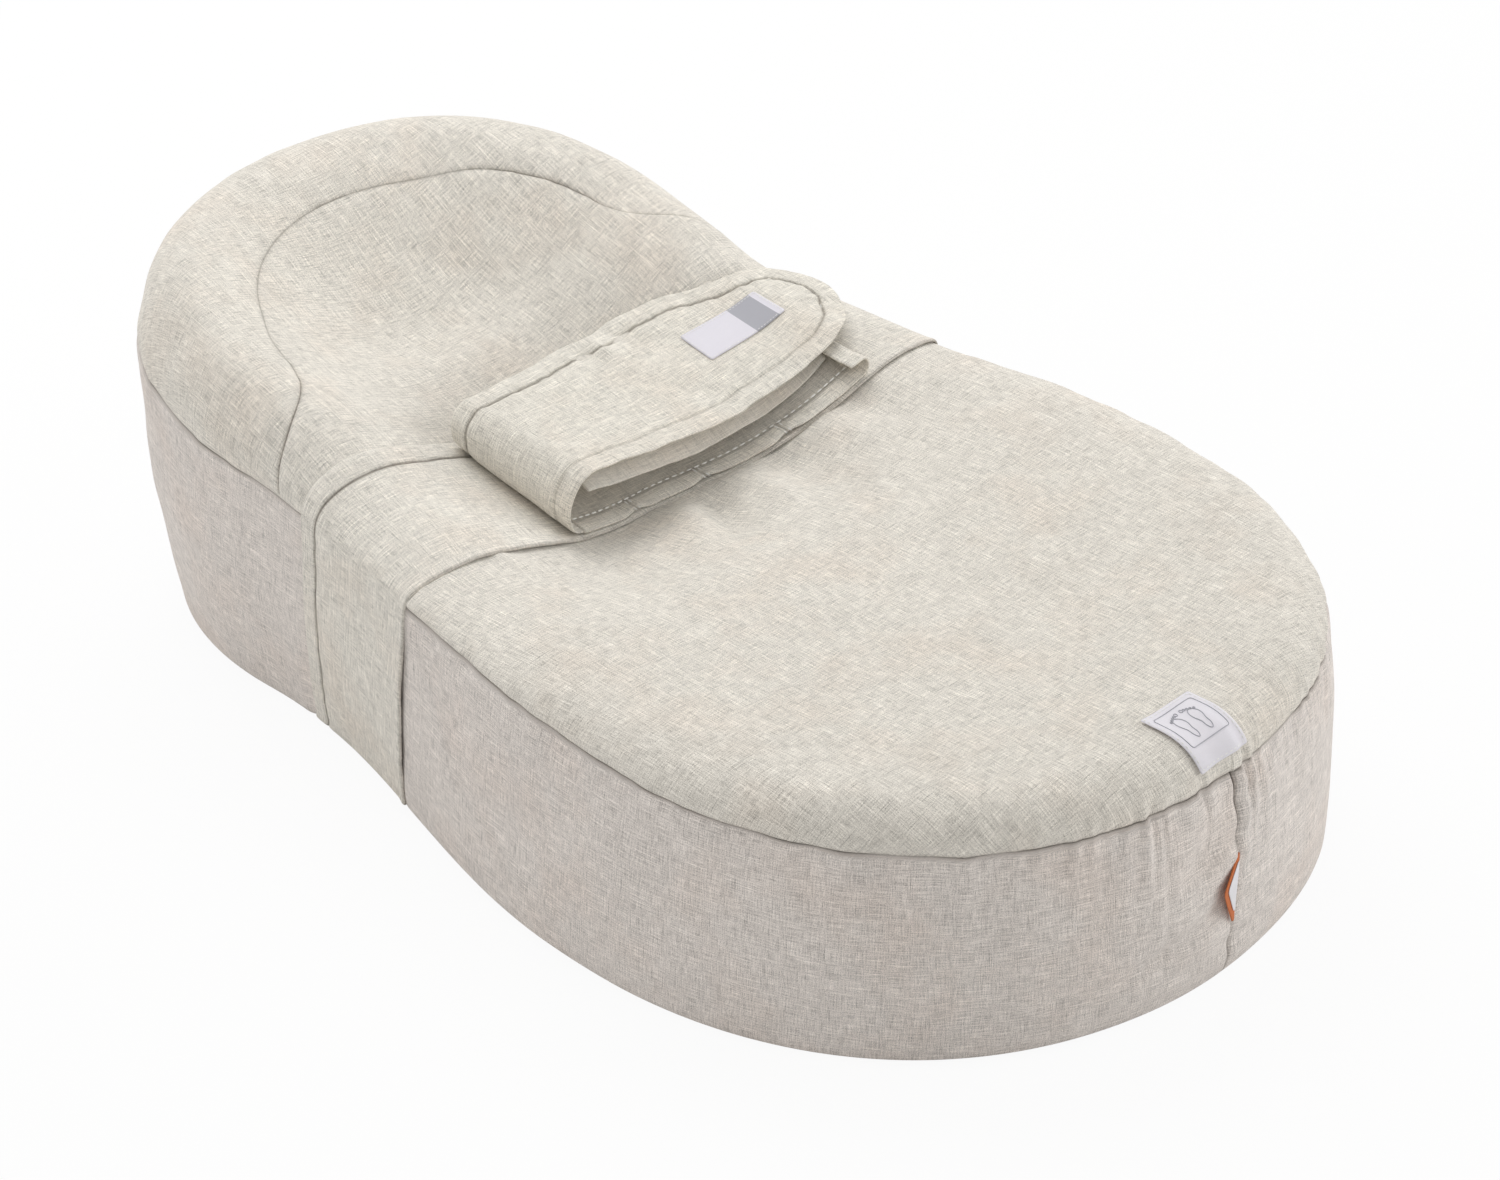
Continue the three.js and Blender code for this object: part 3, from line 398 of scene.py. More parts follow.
def outwards(first, second):
    """Direction square to two others, of length one"""
    out = np.cross(first, second)
    return out / np.linalg.norm(out, axis=-1, keepdims=True)


def half_width(x):
    return mix(head_radius, foot_radius, ease((x - head_centre) / (foot_centre - head_centre)))


def seam_height(x):
    return mix(118, 167, np.clip((350 - x) / 700, 0, 1) ** 1.6)


def rim_height(x):
    up = np.clip((-10 - x) / 340, 0, 1) ** 1.2
    dip = 8 * bell(x + 95, 34)
    return mix(140, 213, np.sin(up * math.pi / 2)) - dip


def spine_height(x):
    to_head = np.clip((-26 - x) / 150, 0, 1) ** 1.25
    to_legs = ease((x + 26) / 136)
    return np.where(x < -26, mix(110, 143, to_head), mix(110, 133, to_legs))


def shoulder_width(x):
    return 26 + 8 * bell(x - waist_middle, 75)


def wall_lean(x):
    return mix(-10, 14, ease((95 - x) / 260))


def round_the_plan(x, y):
    """Centre, direction, distance and reach of the plan through each place"""
    cx = np.clip(x, head_centre, foot_centre)
    r = np.hypot(x - cx, y)
    safe = np.maximum(r, 1e-9)
    ux = (x - cx) / safe
    uy = y / safe
    full = 1 + corner_fullness * np.sin(2 * np.arctan2(np.abs(uy), np.abs(ux))) ** 2
    reach = np.where(x < head_centre, head_radius * full, half_width(cx))
    reach = np.where(x > foot_centre, foot_radius * full, reach)
    return cx, ux, uy, r, reach


def shoulder_of(cx, ux, reach):
    """Where the rounded shoulder starts, its width, its two heights and the length of its arc"""
    out_x = cx + ux * reach
    width = shoulder_width(out_x)
    low = seam_height(out_x)
    high = rim_height(out_x)
    arc = math.pi / 2 * np.sqrt((width**2 + (high - low) ** 2) / 2)
    return reach - width, width, low, high, arc


def top_places(flat_x, flat_y):
    """Points on the top for places on the cloth laid flat"""
    cx, ux, uy, r, reach = round_the_plan(flat_x, flat_y)
    inner, width, low, high, arc = shoulder_of(cx, ux, reach)
    turn = np.clip((r - inner) / arc, 0, 1) * math.pi / 2
    out = np.where(r > inner, inner + width * np.sin(turn), r)
    hollow = mix(spine_height(cx), high, ease((r / inner) ** 1.35))
    z = np.where(r > inner, mix(low, high, np.cos(turn)), hollow)
    return np.stack([cx + ux * out, uy * out, z], axis=-1)


def flat_places(x, y):
    """Places on the flat cloth for places in the plan"""
    cx, ux, uy, r, reach = round_the_plan(x, y)
    inner, width, low, high, arc = shoulder_of(cx, ux, reach)
    turn = np.arcsin(np.clip((r - inner) / width, 0, 1))
    out = np.where(r > inner, inner + arc * turn / (math.pi / 2), r)
    return np.stack([cx + ux * out, uy * out], axis=-1)


print("rim", [round(float(rim_height(x))) for x in (-350, -176, -80, 0, 350)], "mm high")

# %% [markdown]
# ## Making a mesh
#
# Every piece ends the same way: points in millimetres become a mesh in metres at the
# place where its solid lies, faces get smooth shading, the cloth map is written, and the
# material goes on. The modifiers are applied at once, so what is measured is what is seen.

# %% Mesh helpers
def in_frame(places):
    """Points in millimetres, in metres and where the solids lie"""
    return (np.asarray(places) + (frame_shift, 0, 0)) * mm


def finish_faces(mesh, cloth, material):
    """Smooth shading, the cloth map and one material"""
    corners = np.zeros(len(mesh.loops), int)
    mesh.loops.foreach_get("vertex_index", corners)
    layer = mesh.uv_layers.get("cloth") or mesh.uv_layers.new(name="cloth")
    layer.data.foreach_set("uv", np.asarray(cloth)[corners].astype(np.float32).ravel())
    mesh.polygons.foreach_set("use_smooth", [True] * len(mesh.polygons))
    mesh.materials.clear()
    mesh.materials.append(material)


def make_piece(name, places, faces, cloth, material, painted_shade=None):
    mesh = bpy.data.meshes.new(name)
    mesh.from_pydata(in_frame(places).tolist(), [], [list(f) for f in faces])
    finish_faces(mesh, np.asarray(cloth) * mm, material)
    # Painted shade per point, if given, goes into the attribute that the finish darkens by
    if painted_shade is not None:
        shares = mesh.attributes.new("painted_shade", "FLOAT", "POINT")
        shares.data.foreach_set("value", np.asarray(painted_shade, np.float32).ravel())
    mesh.update()
    return add_object(name, mesh)


def settle(piece):
    """Apply a piece's modifiers"""
    bpy.context.view_layer.update()
    shown = piece.evaluated_get(bpy.context.evaluated_depsgraph_get())
    mesh = bpy.data.meshes.new_from_object(shown)
    piece.modifiers.clear()
    piece.data = mesh
    return piece


def add_rounder(piece):
    rounder = piece.modifiers.new("rounder", "SUBSURF")
    rounder.levels = rounder.render_levels = 1


def thicken(piece, thickness):
    """Give the cloth its thickness, inwards from its face"""
    body = piece.modifiers.new("thickness", "SOLIDIFY")
    body.thickness = thickness * mm
    body.offset = -1
    return settle(piece)


def smooth_cloth(piece, thickness):
    """Round the facets first, and then thicken"""
    add_rounder(piece)
    return thicken(piece, thickness)


def area_of(piece):
    """Area of one face of a thin piece, in square metres"""
    return sum(f.area for f in piece.data.polygons) / 2


def cut_size(piece, length):
    """Length and width of the strip that a piece was cut from"""
    return (length * mm, area_of(piece) / (length * mm))


def grid_faces(rows, columns):
    """Quads of a grid of points that is stored row by row"""
    index = np.arange(rows * columns).reshape(rows, columns)
    a, b, c, d = index[:-1, :-1], index[1:, :-1], index[1:, 1:], index[:-1, 1:]
    return np.stack([a, b, c, d], axis=-1).reshape(-1, 4)


def grid_piece(name, grid, cloth, material, painted_shade=None):
    """A piece whose points lie in rows and columns"""
    return make_piece(name, grid.reshape(-1, 3), grid_faces(*grid.shape[:2]), cloth, material, painted_shade)


def pairs(first, second):
    """Every pair of two lists of numbers, row by row"""
    return np.stack(np.meshgrid(first, second, indexing="ij"), axis=-1).reshape(-1, 2)


def normals_of(places, faces):
    """Smooth normals at the points of a mesh of triangles and quads"""
    total = np.zeros_like(places)
    for sides in (3, 4):
        group = np.array([f for f in faces if len(f) == sides])
        if len(group) == 0:
            continue
        first = places[group[:, 2]] - places[group[:, 0]]
        second = places[group[:, sides - 1]] - places[group[:, 1]]
        across = np.cross(first, second)
        for corner in range(sides):
            np.add.at(total, group[:, corner], across)
    return total / np.maximum(np.linalg.norm(total, axis=1, keepdims=True), 1e-9)


def face_out(piece, places, index, way):
    """Turn the faces over if the normal at one point looks against a way"""
    normals = normals_of(places, [tuple(f.vertices) for f in piece.data.polygons])
    if normals[index] @ way < 0:
        piece.data.flip_normals()


def ripple(along, across, seed):
    """Smooth noise between about -1 and 1"""
    along, across = np.broadcast_arrays(along, across)
    spots = zip(along.ravel(), across.ravel())
    return np.array([noise.noise(Vector((a, b, seed))) for a, b in spots]).reshape(along.shape) * 2


def inside_of(points, border):
    """Whether each point lies inside a closed border"""
    x, y = points[:, 0], points[:, 1]
    odd = np.zeros(len(points), bool)
    for (x1, y1), (x2, y2) in zip(border, np.roll(border, -1, axis=0)):
        crosses = (y1 > y) != (y2 > y)
        with np.errstate(divide="ignore", invalid="ignore"):
            meets = x1 + (y - y1) * (x2 - x1) / (y2 - y1)
        odd ^= crosses & (x < meets)
    return odd


def arc_lengths(line):
    """How far along a line each of its points lies"""
    return np.concatenate([[0], np.cumsum(np.linalg.norm(np.diff(line, axis=0), axis=1))])


def evenly(line, step):
    """The same line with points a step apart"""
    arcs = arc_lengths(line)
    places = np.linspace(0, arcs[-1], int(round(arcs[-1] / step)) + 1)
    return np.stack([np.interp(places, arcs, line[:, k]) for k in range(line.shape[1])], axis=-1)


def middles_of(places, faces):
    return np.array([places[list(f)].mean(axis=0) for f in faces])


def draw_pattern(loops, lines, loose, border):
    """A flat pattern in triangles that keeps its closed loops and open lines, inside a border"""
    points, edges = [], []
    for line, count in [(loop, len(loop)) for loop in loops] + [(line, len(line) - 1) for line in lines]:
        first = sum(len(p) for p in points)
        points.append(line)
        edges += [(first + i, first + (i + 1) % len(line)) for i in range(count)]
    pattern = [Vector(p) for p in np.concatenate([*points, loose]).tolist()]
    flat, _, faces, sources, _, _ = delaunay_2d_cdt(pattern, edges, [], 1, 1e-4, True)
    flat = np.array([tuple(p) for p in flat])
    kept = inside_of(middles_of(flat, faces), border)
    return flat, [list(f) for f, keep in zip(faces, kept) if keep], sources


print("helpers ready")

# %% [markdown]
# ## The seam round the top
#
# A long seam joins the top of the sheet to its sides. The stations along it are shared by
# both, so the two panels meet without a gap. They lie about 4 mm apart, and 2.4 mm apart
# round the tight foot end, where the creases are short.

# %% Stations along the seam
turn_list = np.concatenate([np.linspace(0, 90, 91), np.full(150, 90.0), np.linspace(90, 180, 91)])
centre_list = np.concatenate([
    np.full(91, foot_centre), np.linspace(foot_centre, head_centre, 152)[1:-1], np.full(91, head_centre)
])


def station_reach(cx, turn):
    full = 1 + corner_fullness * np.sin(2 * np.radians(turn)) ** 2
    reach = np.where(cx > foot_centre - 1e-6, foot_radius * full, half_width(cx))
    return np.where(cx < head_centre + 1e-6, head_radius * full, reach)


def seam_places(cx, turn, side):
    ux, uy = heading(turn, side)
    reach = station_reach(cx, turn)
    x = cx + ux * reach
    return np.stack([x, uy * reach, seam_height(x)], axis=-1)


seam_line = seam_places(centre_list, turn_list, -1)
seam_arcs = arc_lengths(seam_line)
seam_keys = turn_list + (foot_centre - centre_list)
half_seam = seam_arcs[-1]
station_step, tight_step, tight_end = 4.0, 2.4, 190.0
station_count = int(round((half_seam - 5 - tight_end) / station_step))
stations = np.concatenate([
    [0, 0.8, 2.2], np.arange(4.6, tight_end - 3, tight_step),
    np.linspace(tight_end, half_seam - 5, station_count), [half_seam - 2.2, half_seam],
])
station_keys = np.interp(stations, seam_arcs, seam_keys)
station_turns = np.clip(station_keys, 0, 90) + np.clip(station_keys - 90 - foot_centre + head_centre, 0, 90)
station_centres = foot_centre - np.clip(station_keys - 90, 0, foot_centre - head_centre)
# The near side runs from the foot to the head, and the far side back again
ring_turns = np.concatenate([station_turns, station_turns[-2:0:-1]])
ring_centres = np.concatenate([station_centres, station_centres[-2:0:-1]])
ring_sides = np.concatenate([np.full(len(stations), -1.0), np.full(len(stations) - 2, 1.0)])
ring_arcs = np.concatenate([stations, 2 * half_seam - stations[-2:0:-1]])
ring_count = len(ring_arcs)
print("seam", round(2 * half_seam), "mm round,", ring_count, "stations")

# %% [markdown]
# ## Sewn line round the pillow
#
# The head piece of the sheet is sewn to the top panel along a line that runs round the
# pillow as a horseshoe and flares out to the side seam on both sides. The mesh gets a row
# of points right on this line and two on either side of it, so the ditch stays narrow.

# %% The horseshoe
pocket_centre, pocket_radius, pocket_turn = -170.0, 117.0, 100.0
flare_x, flare_y, flare_end_x = -146.0, 166.0, -140.0


def horseshoe(offset):
    """Places on the flat cloth, from the near seam round the head to the far seam"""
    turn = math.radians(pocket_turn)
    angles = np.linspace(turn, 2 * math.pi - turn, 170)
    round_it = np.degrees(angles) - 180
    wider = 3 * ease((-round_it - 58) / 15) + 5 * ease((round_it - 25) / 25)
    radius = pocket_radius + offset + wider
    circle = np.stack([pocket_centre + radius * np.cos(angles), -radius * np.sin(angles)], axis=-1)
    start = circle[0] * (1, -1)
    end = np.array([flare_x - offset, flare_y])
    bend = np.array([mix(start[0], end[0], 0.6), mix(start[1], end[1], 0.14)])
    share = np.linspace(0, 1, 22)[:, None]
    flare = (1 - share) ** 2 * end + 2 * share * (1 - share) * bend + share**2 * start
    near = flat_places(*(flare * (1, -1)).T)
    far = near[::-1] * (1, -1) + (circle[-1] - start) * share[::-1]
    _, ux, _, _, reach = round_the_plan(np.array([flare_end_x]), np.array([-200.0]))
    inner, _, _, _, arc = shoulder_of(np.array([flare_end_x]), ux, reach)
    edge = np.array([flare_end_x - offset, 3.2 - inner[0] - arc[0]])
    tail = np.linspace(edge, near[0], 9)[:-1]
    return np.concatenate([tail, near, circle[1:-1], far, tail[::-1] * (1, -1)])


horseshoe_flat = horseshoe(0.0)
print("sewn line", round(float(arc_lengths(horseshoe_flat)[-1])), "mm long")

# %% [markdown]
# ## Draft of the whole sheet
#
# The sheet is drafted as one skin, so that a pull on a seam moves both panels beside it.
# Its top is laid out flat first, like a paper pattern: the seam's stations, three rows close
# inside them, the sewn line, and loose points between, about 6 mm apart. A triangulation
# that keeps the given lines joins them up, and the rules lift it into its shape. The walls
# are rows of points that run down from the same stations and under the rounded base edge.

# %% Top of the draft
top_spacing = 5.6


def ring_flat(inside):
    """The seam's stations on the flat cloth, moved inwards"""
    ux, uy = heading(ring_turns, ring_sides)
    inner, _, _, _, arc = shoulder_of(ring_centres, ux, station_reach(ring_centres, ring_turns))
    out = inner + arc - inside
    return np.stack([ring_centres + ux * out, uy * out], axis=-1)


def nearest_on(points, line):
    """Distance to the nearest point of a line, and which point it is"""
    least = np.full(len(points), 1e9)
    which = np.zeros(len(points), int)
    for first in range(0, len(points), 2000):
        part = points[first:first + 2000]
        gaps = np.linalg.norm(part[:, None, :] - line[None, :, :], axis=2)
        least[first:first + 2000] = gaps.min(axis=1)
        which[first:first + 2000] = gaps.argmin(axis=1)
    return least, which


kept_lines = [ring_flat(inside) for inside in (0.0, 0.8, 2.4, 6.0)]
sewn_lines = [horseshoe(d) for d in (0.0, 0.7, 1.9, -0.7, -1.9)]
row_gap = top_spacing * math.sqrt(3) / 2
lattice = np.array([
    (x + (top_spacing / 2 if n % 2 else 0), y)
    for n, y in enumerate(np.arange(-270, 270, row_gap))
    for x in np.arange(-400, 400, top_spacing)
])
cx, ux, uy, r, reach = round_the_plan(*lattice.T)
inner, _, _, _, arc = shoulder_of(cx, ux, reach)
lattice = lattice[inner + arc - r > 9.0]
lattice = lattice[nearest_on(lattice, np.concatenate(sewn_lines))[0] > 3.4]

flat_top, top_faces, flat_from = draw_pattern(kept_lines, sewn_lines, lattice, ring_flat(0.0))
top_count = len(flat_top)
ring_index = np.full(ring_count, -1)
for index, sources in enumerate(flat_from):
    for source in sources:
        if source < ring_count:
            ring_index[source] = index
print("top of the draft:", top_count, "points,", len(top_faces), "triangles")

# %% Walls of the draft
wall_rows = 27
round_rows = 4
base_round = 7.0
wall_swell = 4.0
band_room = 2.8


def base_lift(x, side):
    """The base is held up a little where the band passes under it"""
    shift = mix(-9, 11, (side + 1) / 2)
    past_head_edge = ease((x - band_head_edge - shift + 5) / 6)
    return band_room * past_head_edge * ease((band_foot_edge + shift + 5 - x) / 6)


def wall_places(cx, turn, side, down):
    """Points down the wall, 0 at the seam, 1 at the start of the base's round and 2 at its end"""
    ux, uy = heading(turn, side)
    reach = station_reach(cx, turn)
    out_x = cx + ux * reach
    lean = wall_lean(out_x)
    lift = base_lift(out_x, side)
    w = np.clip(down, 0, 1)
    under = np.clip(down - 1, 0, 1) * math.pi / 2
    out = reach - lean * w + wall_swell * np.sin(w * math.pi) - base_round * (1 - np.cos(under))
    z = mix(seam_height(out_x), lift + base_round, w) - base_round * np.sin(under)
    return np.stack([cx + ux * out, uy * out, z], axis=-1)


wall_height = seam_height(ring_centres + np.cos(np.radians(ring_turns)) * 200) - base_round
downs = [0.8 / wall_height, 2.4 / wall_height, 6.0 / wall_height]
downs += [mix(6.0 / wall_height, np.ones(ring_count), k / (wall_rows - 2)) for k in range(1, wall_rows - 1)]
downs += [np.full(ring_count, 1 + k / round_rows) for k in range(1, round_rows + 1)]
wall_points = np.concatenate([wall_places(ring_centres, ring_turns, ring_sides, down) for down in downs])
row_index = [ring_index] + [top_count + k * ring_count + np.arange(ring_count) for k in range(len(downs))]
after = np.roll(np.arange(ring_count), -1)
wall_faces = np.concatenate([
    np.stack([upper, upper[after], lower[after], lower], axis=-1)
    for upper, lower in zip(row_index[:-1], row_index[1:])
])
wall_column = np.tile(np.arange(ring_count), len(downs))
draft_places = np.concatenate([top_places(*flat_top.T), wall_points])
draft_normals = normals_of(draft_places, top_faces + wall_faces.tolist())
print("draft", len(draft_places), "points")

# %% [markdown]
# ## Folds and puckers laid in
#
# Real seams draw the cloth in: it sinks into a narrow ditch on the line, swells beside it
# and breaks into short creases square to it, most of all round the tight foot end. Where
# the sheet comes out from under the belt it lies in broad soft folds. Each of these is a
# height at every point of the draft, and the draft is moved along its own normals by
# their sum.

# %% Heights of the seams and puckers
top_cx, top_ux, top_uy, top_r, top_reach = round_the_plan(*flat_top.T)
top_inner, _, _, _, top_arc = shoulder_of(top_cx, top_ux, top_reach)
top_turn = np.degrees(np.arctan2(np.abs(top_uy), top_ux))
top_turn = np.where(top_r < 1e-6, 90.0, top_turn)
top_keys = np.where(top_cx > foot_centre - 1e-6, np.minimum(top_turn, 90), 90 + foot_centre - top_cx)
head_keys = foot_centre - head_centre + np.maximum(top_turn, 90)
top_keys = np.where(top_cx < head_centre + 1e-6, head_keys, top_keys)
top_along = np.interp(top_keys, seam_keys, seam_arcs)
top_along = np.where(flat_top[:, 1] > 0, 2 * half_seam - top_along, top_along)
top_away = np.maximum(top_inner + top_arc - top_r, 0)
wall_along = np.tile(ring_arcs, len(downs))
wall_away = np.concatenate([
    np.minimum(down, 1) * wall_height + np.maximum(down - 1, 0) * 11 for down in downs
])
along = np.concatenate([top_along, wall_along])
away = np.concatenate([top_away, wall_away])
on_top = np.arange(len(draft_places)) < top_count
from_foot_seam = np.minimum(along, 2 * half_seam - along)
near_foot = bell(from_foot_seam, 330)

ditch_depth, ditch_reach = 1.1, 0.9
swell_height, swell_reach = 0.9, 9.0
short_creases = ripple(along / 7.5, away / 70, 5.2) * np.exp(-away / 16)
long_creases = ripple(along / 17, away / 120, 8.4) * np.exp(-away / 42)
seam_height_change = -ditch_depth * (1 - 0.5 * near_foot) * bell(away, ditch_reach)
seam_height_change += swell_height * swell(away, swell_reach)
pucker_strength = np.where(on_top, 0.55, 0.8) + np.where(on_top, 0.35, 1.0) * near_foot
pucker_change = pucker_strength * (0.55 * short_creases + 0.9 * long_creases)
tight = bell(from_foot_seam - 60, 80)
tight_creases = ripple(along / 4.9, away / 110, 3.1) * (0.85 + 0.8 * ripple(along / 19, away / 80, 7.7))
tight_creases *= 1 - 0.55 * np.exp(-away / 4)
crease_heights = np.where(on_top, 3.4 * np.exp(-away / 15), 4.4 * np.exp(-away / 28))
pucker_change += tight * tight_creases * crease_heights
pucker_change += np.where(on_top, 0, 0.45) * ripple(along / 21, away / 190, 2.2)

sewn_away = np.full(len(draft_places), 99.0)
sewn_away[:top_count] = nearest_on(flat_top, horseshoe_flat)[0]
sewn_along = np.zeros(len(draft_places))
sewn_angle = np.arctan2(flat_top[:, 1], flat_top[:, 0] - pocket_centre)
sewn_along[:top_count] = sewn_angle * pocket_radius
sewn_change = -1.1 * bell(sewn_away, 0.8)
sewn_change += 0.6 * swell(sewn_away, 8)
sewn_change += 0.65 * ripple(sewn_along / 8, sewn_away / 60, 2.7) * np.exp(-sewn_away / 14)
sewn_share = 1 - 0.7 * ease((draft_places[:, 0] + 205) / 25) * (draft_places[:, 1] > 0)
sewn_change = sewn_change * sewn_share

# The upright seams at the foot and the head
upright_away = np.minimum(from_foot_seam, np.abs(along - half_seam))
upright_away = np.where(on_top, 99.0, upright_away)
upright_change = -1.4 * bell(upright_away, 1.0)
upright_change += 1.1 * swell(upright_away, 9)
upright_change += 1.3 * ripple(away / 10, upright_away / 80, 6.1) * np.exp(-upright_away / 26)
print("pucker heights", pucker_change.min().round(2), "to", pucker_change.max().round(2), "mm")

# %% Soft folds of the seat and the whole sheet
# Each fold runs from one place to another in the plan, with its width and its height
soft_folds = (
    ((-40, -20), (120, 40), 80, 3.6),
    ((-26, 26), (56, -30), 9, -5.4),
    ((-26, 4), (52, -54), 9, 3.4),
    ((-24, 70), (78, 50), 11, -5.4),
    ((-22, 46), (70, 14), 9, 3.6),
    ((-22, 94), (74, 96), 12, 3.4),
    ((-16, 120), (64, 132), 12, -3.8),
    ((0, -132), (40, -40), 14, -4.4),
    ((-34, -134), (10, -120), 5, 3.0),
    ((-238, -30), (-170, 20), 26, -1.0),
    ((-250, 30), (-160, -60), 22, 0.8),
)
fold_change = np.zeros(len(draft_places))
plan = draft_places[:top_count, :2]
for start, end, width, height in soft_folds:
    start, end = np.array(start, float), np.array(end, float)
    run = end - start
    share = ((plan - start) @ run) / (run @ run)
    bow = 6 * np.sin(np.clip(share, 0, 1) * math.pi)
    side = (plan - start) @ np.array([-run[1], run[0]]) / np.linalg.norm(run) - bow
    fade = ease(np.clip(share, 0, 1) / 0.25) * ease((1 - np.clip(share, 0, 1)) / 0.6)
    fold_change[:top_count] += height * fade * bell(side, width)
unevenness = 0.9 * ripple(draft_places[:, 0] / 70, draft_places[:, 1] / 70 + draft_places[:, 2] / 60, 1.3)
unevenness += 0.45 * ripple(draft_places[:, 0] / 26, draft_places[:, 1] / 26 + draft_places[:, 2] / 26, 9.9)


def band_shift(rows):
    """How far the band lies to the feet of its square place: rows run from -14 to 14 across"""
    turn = ease((rows + 0.41) / (0.41 + 4.53))
    down = ease((np.abs(rows) - 9) / 5)
    return mix(mix(6, 27, turn), mix(-9, 11, turn), down)


rows_of_draft = np.where(on_top, 6 * np.abs(draft_places[:, 1]) / 143, 9 + 5 * away / 150)
rows_of_draft = np.sign(draft_places[:, 1]) * np.clip(rows_of_draft, 0, 14)
band_low = band_head_edge + band_shift(rows_of_draft) + 3
band_high = band_foot_edge + band_shift(rows_of_draft) - 3
into_band = np.minimum(draft_places[:, 0] - band_low, band_high - draft_places[:, 0])
free = 1 - ease(into_band / 7 + 0.5)
bottom = ease((draft_places[:, 2] - 2) / 14)
bottom[:top_count] = 1.0
change = seam_height_change + pucker_change + sewn_change + fold_change + unevenness + upright_change

# Pulls and dents beside the tag, by their place along the seam and down the wall
wall_dents = ((24, 36, 16, 13, -5.5), (8, 66, 20, 6, -4.6), (52, 80, 26, 6, -4.4), (40, 60, 60, 50, 3.2))
for dent_along, dent_away, length, width, height in wall_dents:
    skewed = away - dent_away - (along - dent_along) * 0.3
    gap = ((along - dent_along) / length) ** 2 + (skewed / width) ** 2
    change += np.where(on_top, 0, height * np.exp(-gap))
lift_off = 0.6
head_crest = bell(draft_places[:, 0] + 300, 60) * ease((draft_places[:, 2] - 150) / 30)
change = np.maximum(change + lift_off - 1.6 * head_crest, -0.9) * np.clip(free, 0, 1) * bottom
# Painted shade for the sheet's colour: a painted shadow on the walls beside the band's foot edge, and
# painted shade in the ditches of the side seam, the horseshoe and the upright seams
painted_band_shadow = bell(draft_places[:, 0] - band_high - 4.5, 2.0) * np.where(on_top, 0, 0.6)
seam_shade = 0.5 * bell(away, 0.7) + 0.5 * sewn_share * bell(sewn_away, 0.6)
draft_painted_shade = np.minimum(seam_shade + 0.6 * bell(upright_away, 0.8) + painted_band_shadow * bottom, 0.9)
laid_places = draft_places + draft_normals * change[:, None]


def seam_drift(z):
    """How far the upright foot seam has slipped to the near side, for a height on the wall"""
    return 5.5 * ease((92 - z) / 50)


near_seam = np.where(on_top, 0, bell(from_foot_seam, 45))
laid_places[:, 1] -= seam_drift(draft_places[:, 2]) * near_seam
print("laid heights", round(float(change.min()), 2), "to", round(float(change.max()), 2), "mm")

# %% [markdown]
# ## Cutting the draft into its panels
#
# The finished skin is cut along its seams into the four panels that the real sheet is sewn
# from: the head piece outside the horseshoe, the top panel, and the two sides. Each gets
# one level of rounding and its thickness.

# %% The four panels
panel_border = np.concatenate([horseshoe_flat, [[420, 300], [420, -300]]])
in_panel = inside_of(middles_of(flat_top, top_faces), panel_border)
is_near = ring_arcs[wall_column] < half_seam - 1e-6
draft_cloth = np.concatenate([flat_top, np.stack([wall_along, -wall_away], axis=-1)])
top_list = np.array(top_faces)
panels = (
    ("sheet_head", top_list[~in_panel], linen_top, "sheet_head_piece"),
    ("sheet_panel", top_list[in_panel], linen_top, "sheet_top_panel"),
    ("sheet_near", wall_faces[is_near], linen_side_shaded, "sheet_side_near"),
    ("sheet_far", wall_faces[~is_near], linen_side_shaded, "sheet_side_far"),
)
sheet_thickness = 0.9
linen_thickness = 1.1
label_thickness = 0.35


def cut_out(name, faces, material):
    """A piece with only the points of the draft that its faces use"""
    used, compact = np.unique(faces, return_inverse=True)
    cloth = draft_cloth[used]
    if name == "sheet_far":
        cloth[cloth[:, 0] < 1, 0] = 2 * half_seam
    faces = compact.reshape(faces.shape)
    return make_piece(name, laid_places[used], faces, cloth, material, draft_painted_shade[used])


def quads_from_triangles(piece):
    mesh = bmesh.new()
    mesh.from_mesh(piece.data)
    turn = math.radians(60)
    bmesh.ops.join_triangles(
        mesh, faces=mesh.faces[:], angle_face_threshold=turn, angle_shape_threshold=turn
    )
    mesh.to_mesh(piece.data)
    mesh.free()


for name, faces, material, node in panels:
    piece = cut_out(name, faces, material)
    if faces.shape[1] == 3:
        quads_from_triangles(piece)
    smooth_cloth(piece, sheet_thickness)
    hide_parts(node)
    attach(piece, "nest")

# %% [markdown]
# ## Places round the waist
#
# The band and the belt lie on the nest like a parcel ribbon. Their places are given by two
# numbers: how far along the nest, and how far round it, in rows from -14 at the near end of
# the base, over the middle of the top at 0, to 14 at the far end. The same rules as before
# turn the two numbers into a point, and a small step each way gives the direction outwards.

# %% Places on the nest round the waist
def loop_places(x, rows):
    row = np.abs(rows)
    reach, width = half_width(x), shoulder_width(x)
    low, high, lift = seam_height(x), rim_height(x), base_lift(x, np.sign(rows))
    share = np.clip(row / 6, 0, 1)
    turn = np.clip((row - 6) / 3, 0, 1) * math.pi / 2
    down = np.clip((row - 9) / 3, 0, 1)
    under = np.clip((row - 12) / 2, 0, 1) * math.pi / 2
    out = share * (reach - width) + width * np.sin(turn)
    out = out - wall_lean(x) * down + wall_swell * np.sin(down * math.pi) - base_round * (1 - np.cos(under))
    hollow = mix(spine_height(x), high, ease(share**1.35))
    wall = mix(low, lift + base_round, down) - base_round * np.sin(under)
    z = np.where(row <= 6, hollow, np.where(row <= 9, mix(low, high, np.cos(turn)), wall))
    return np.stack([x + 0 * out, np.sign(rows) * out, z], axis=-1)


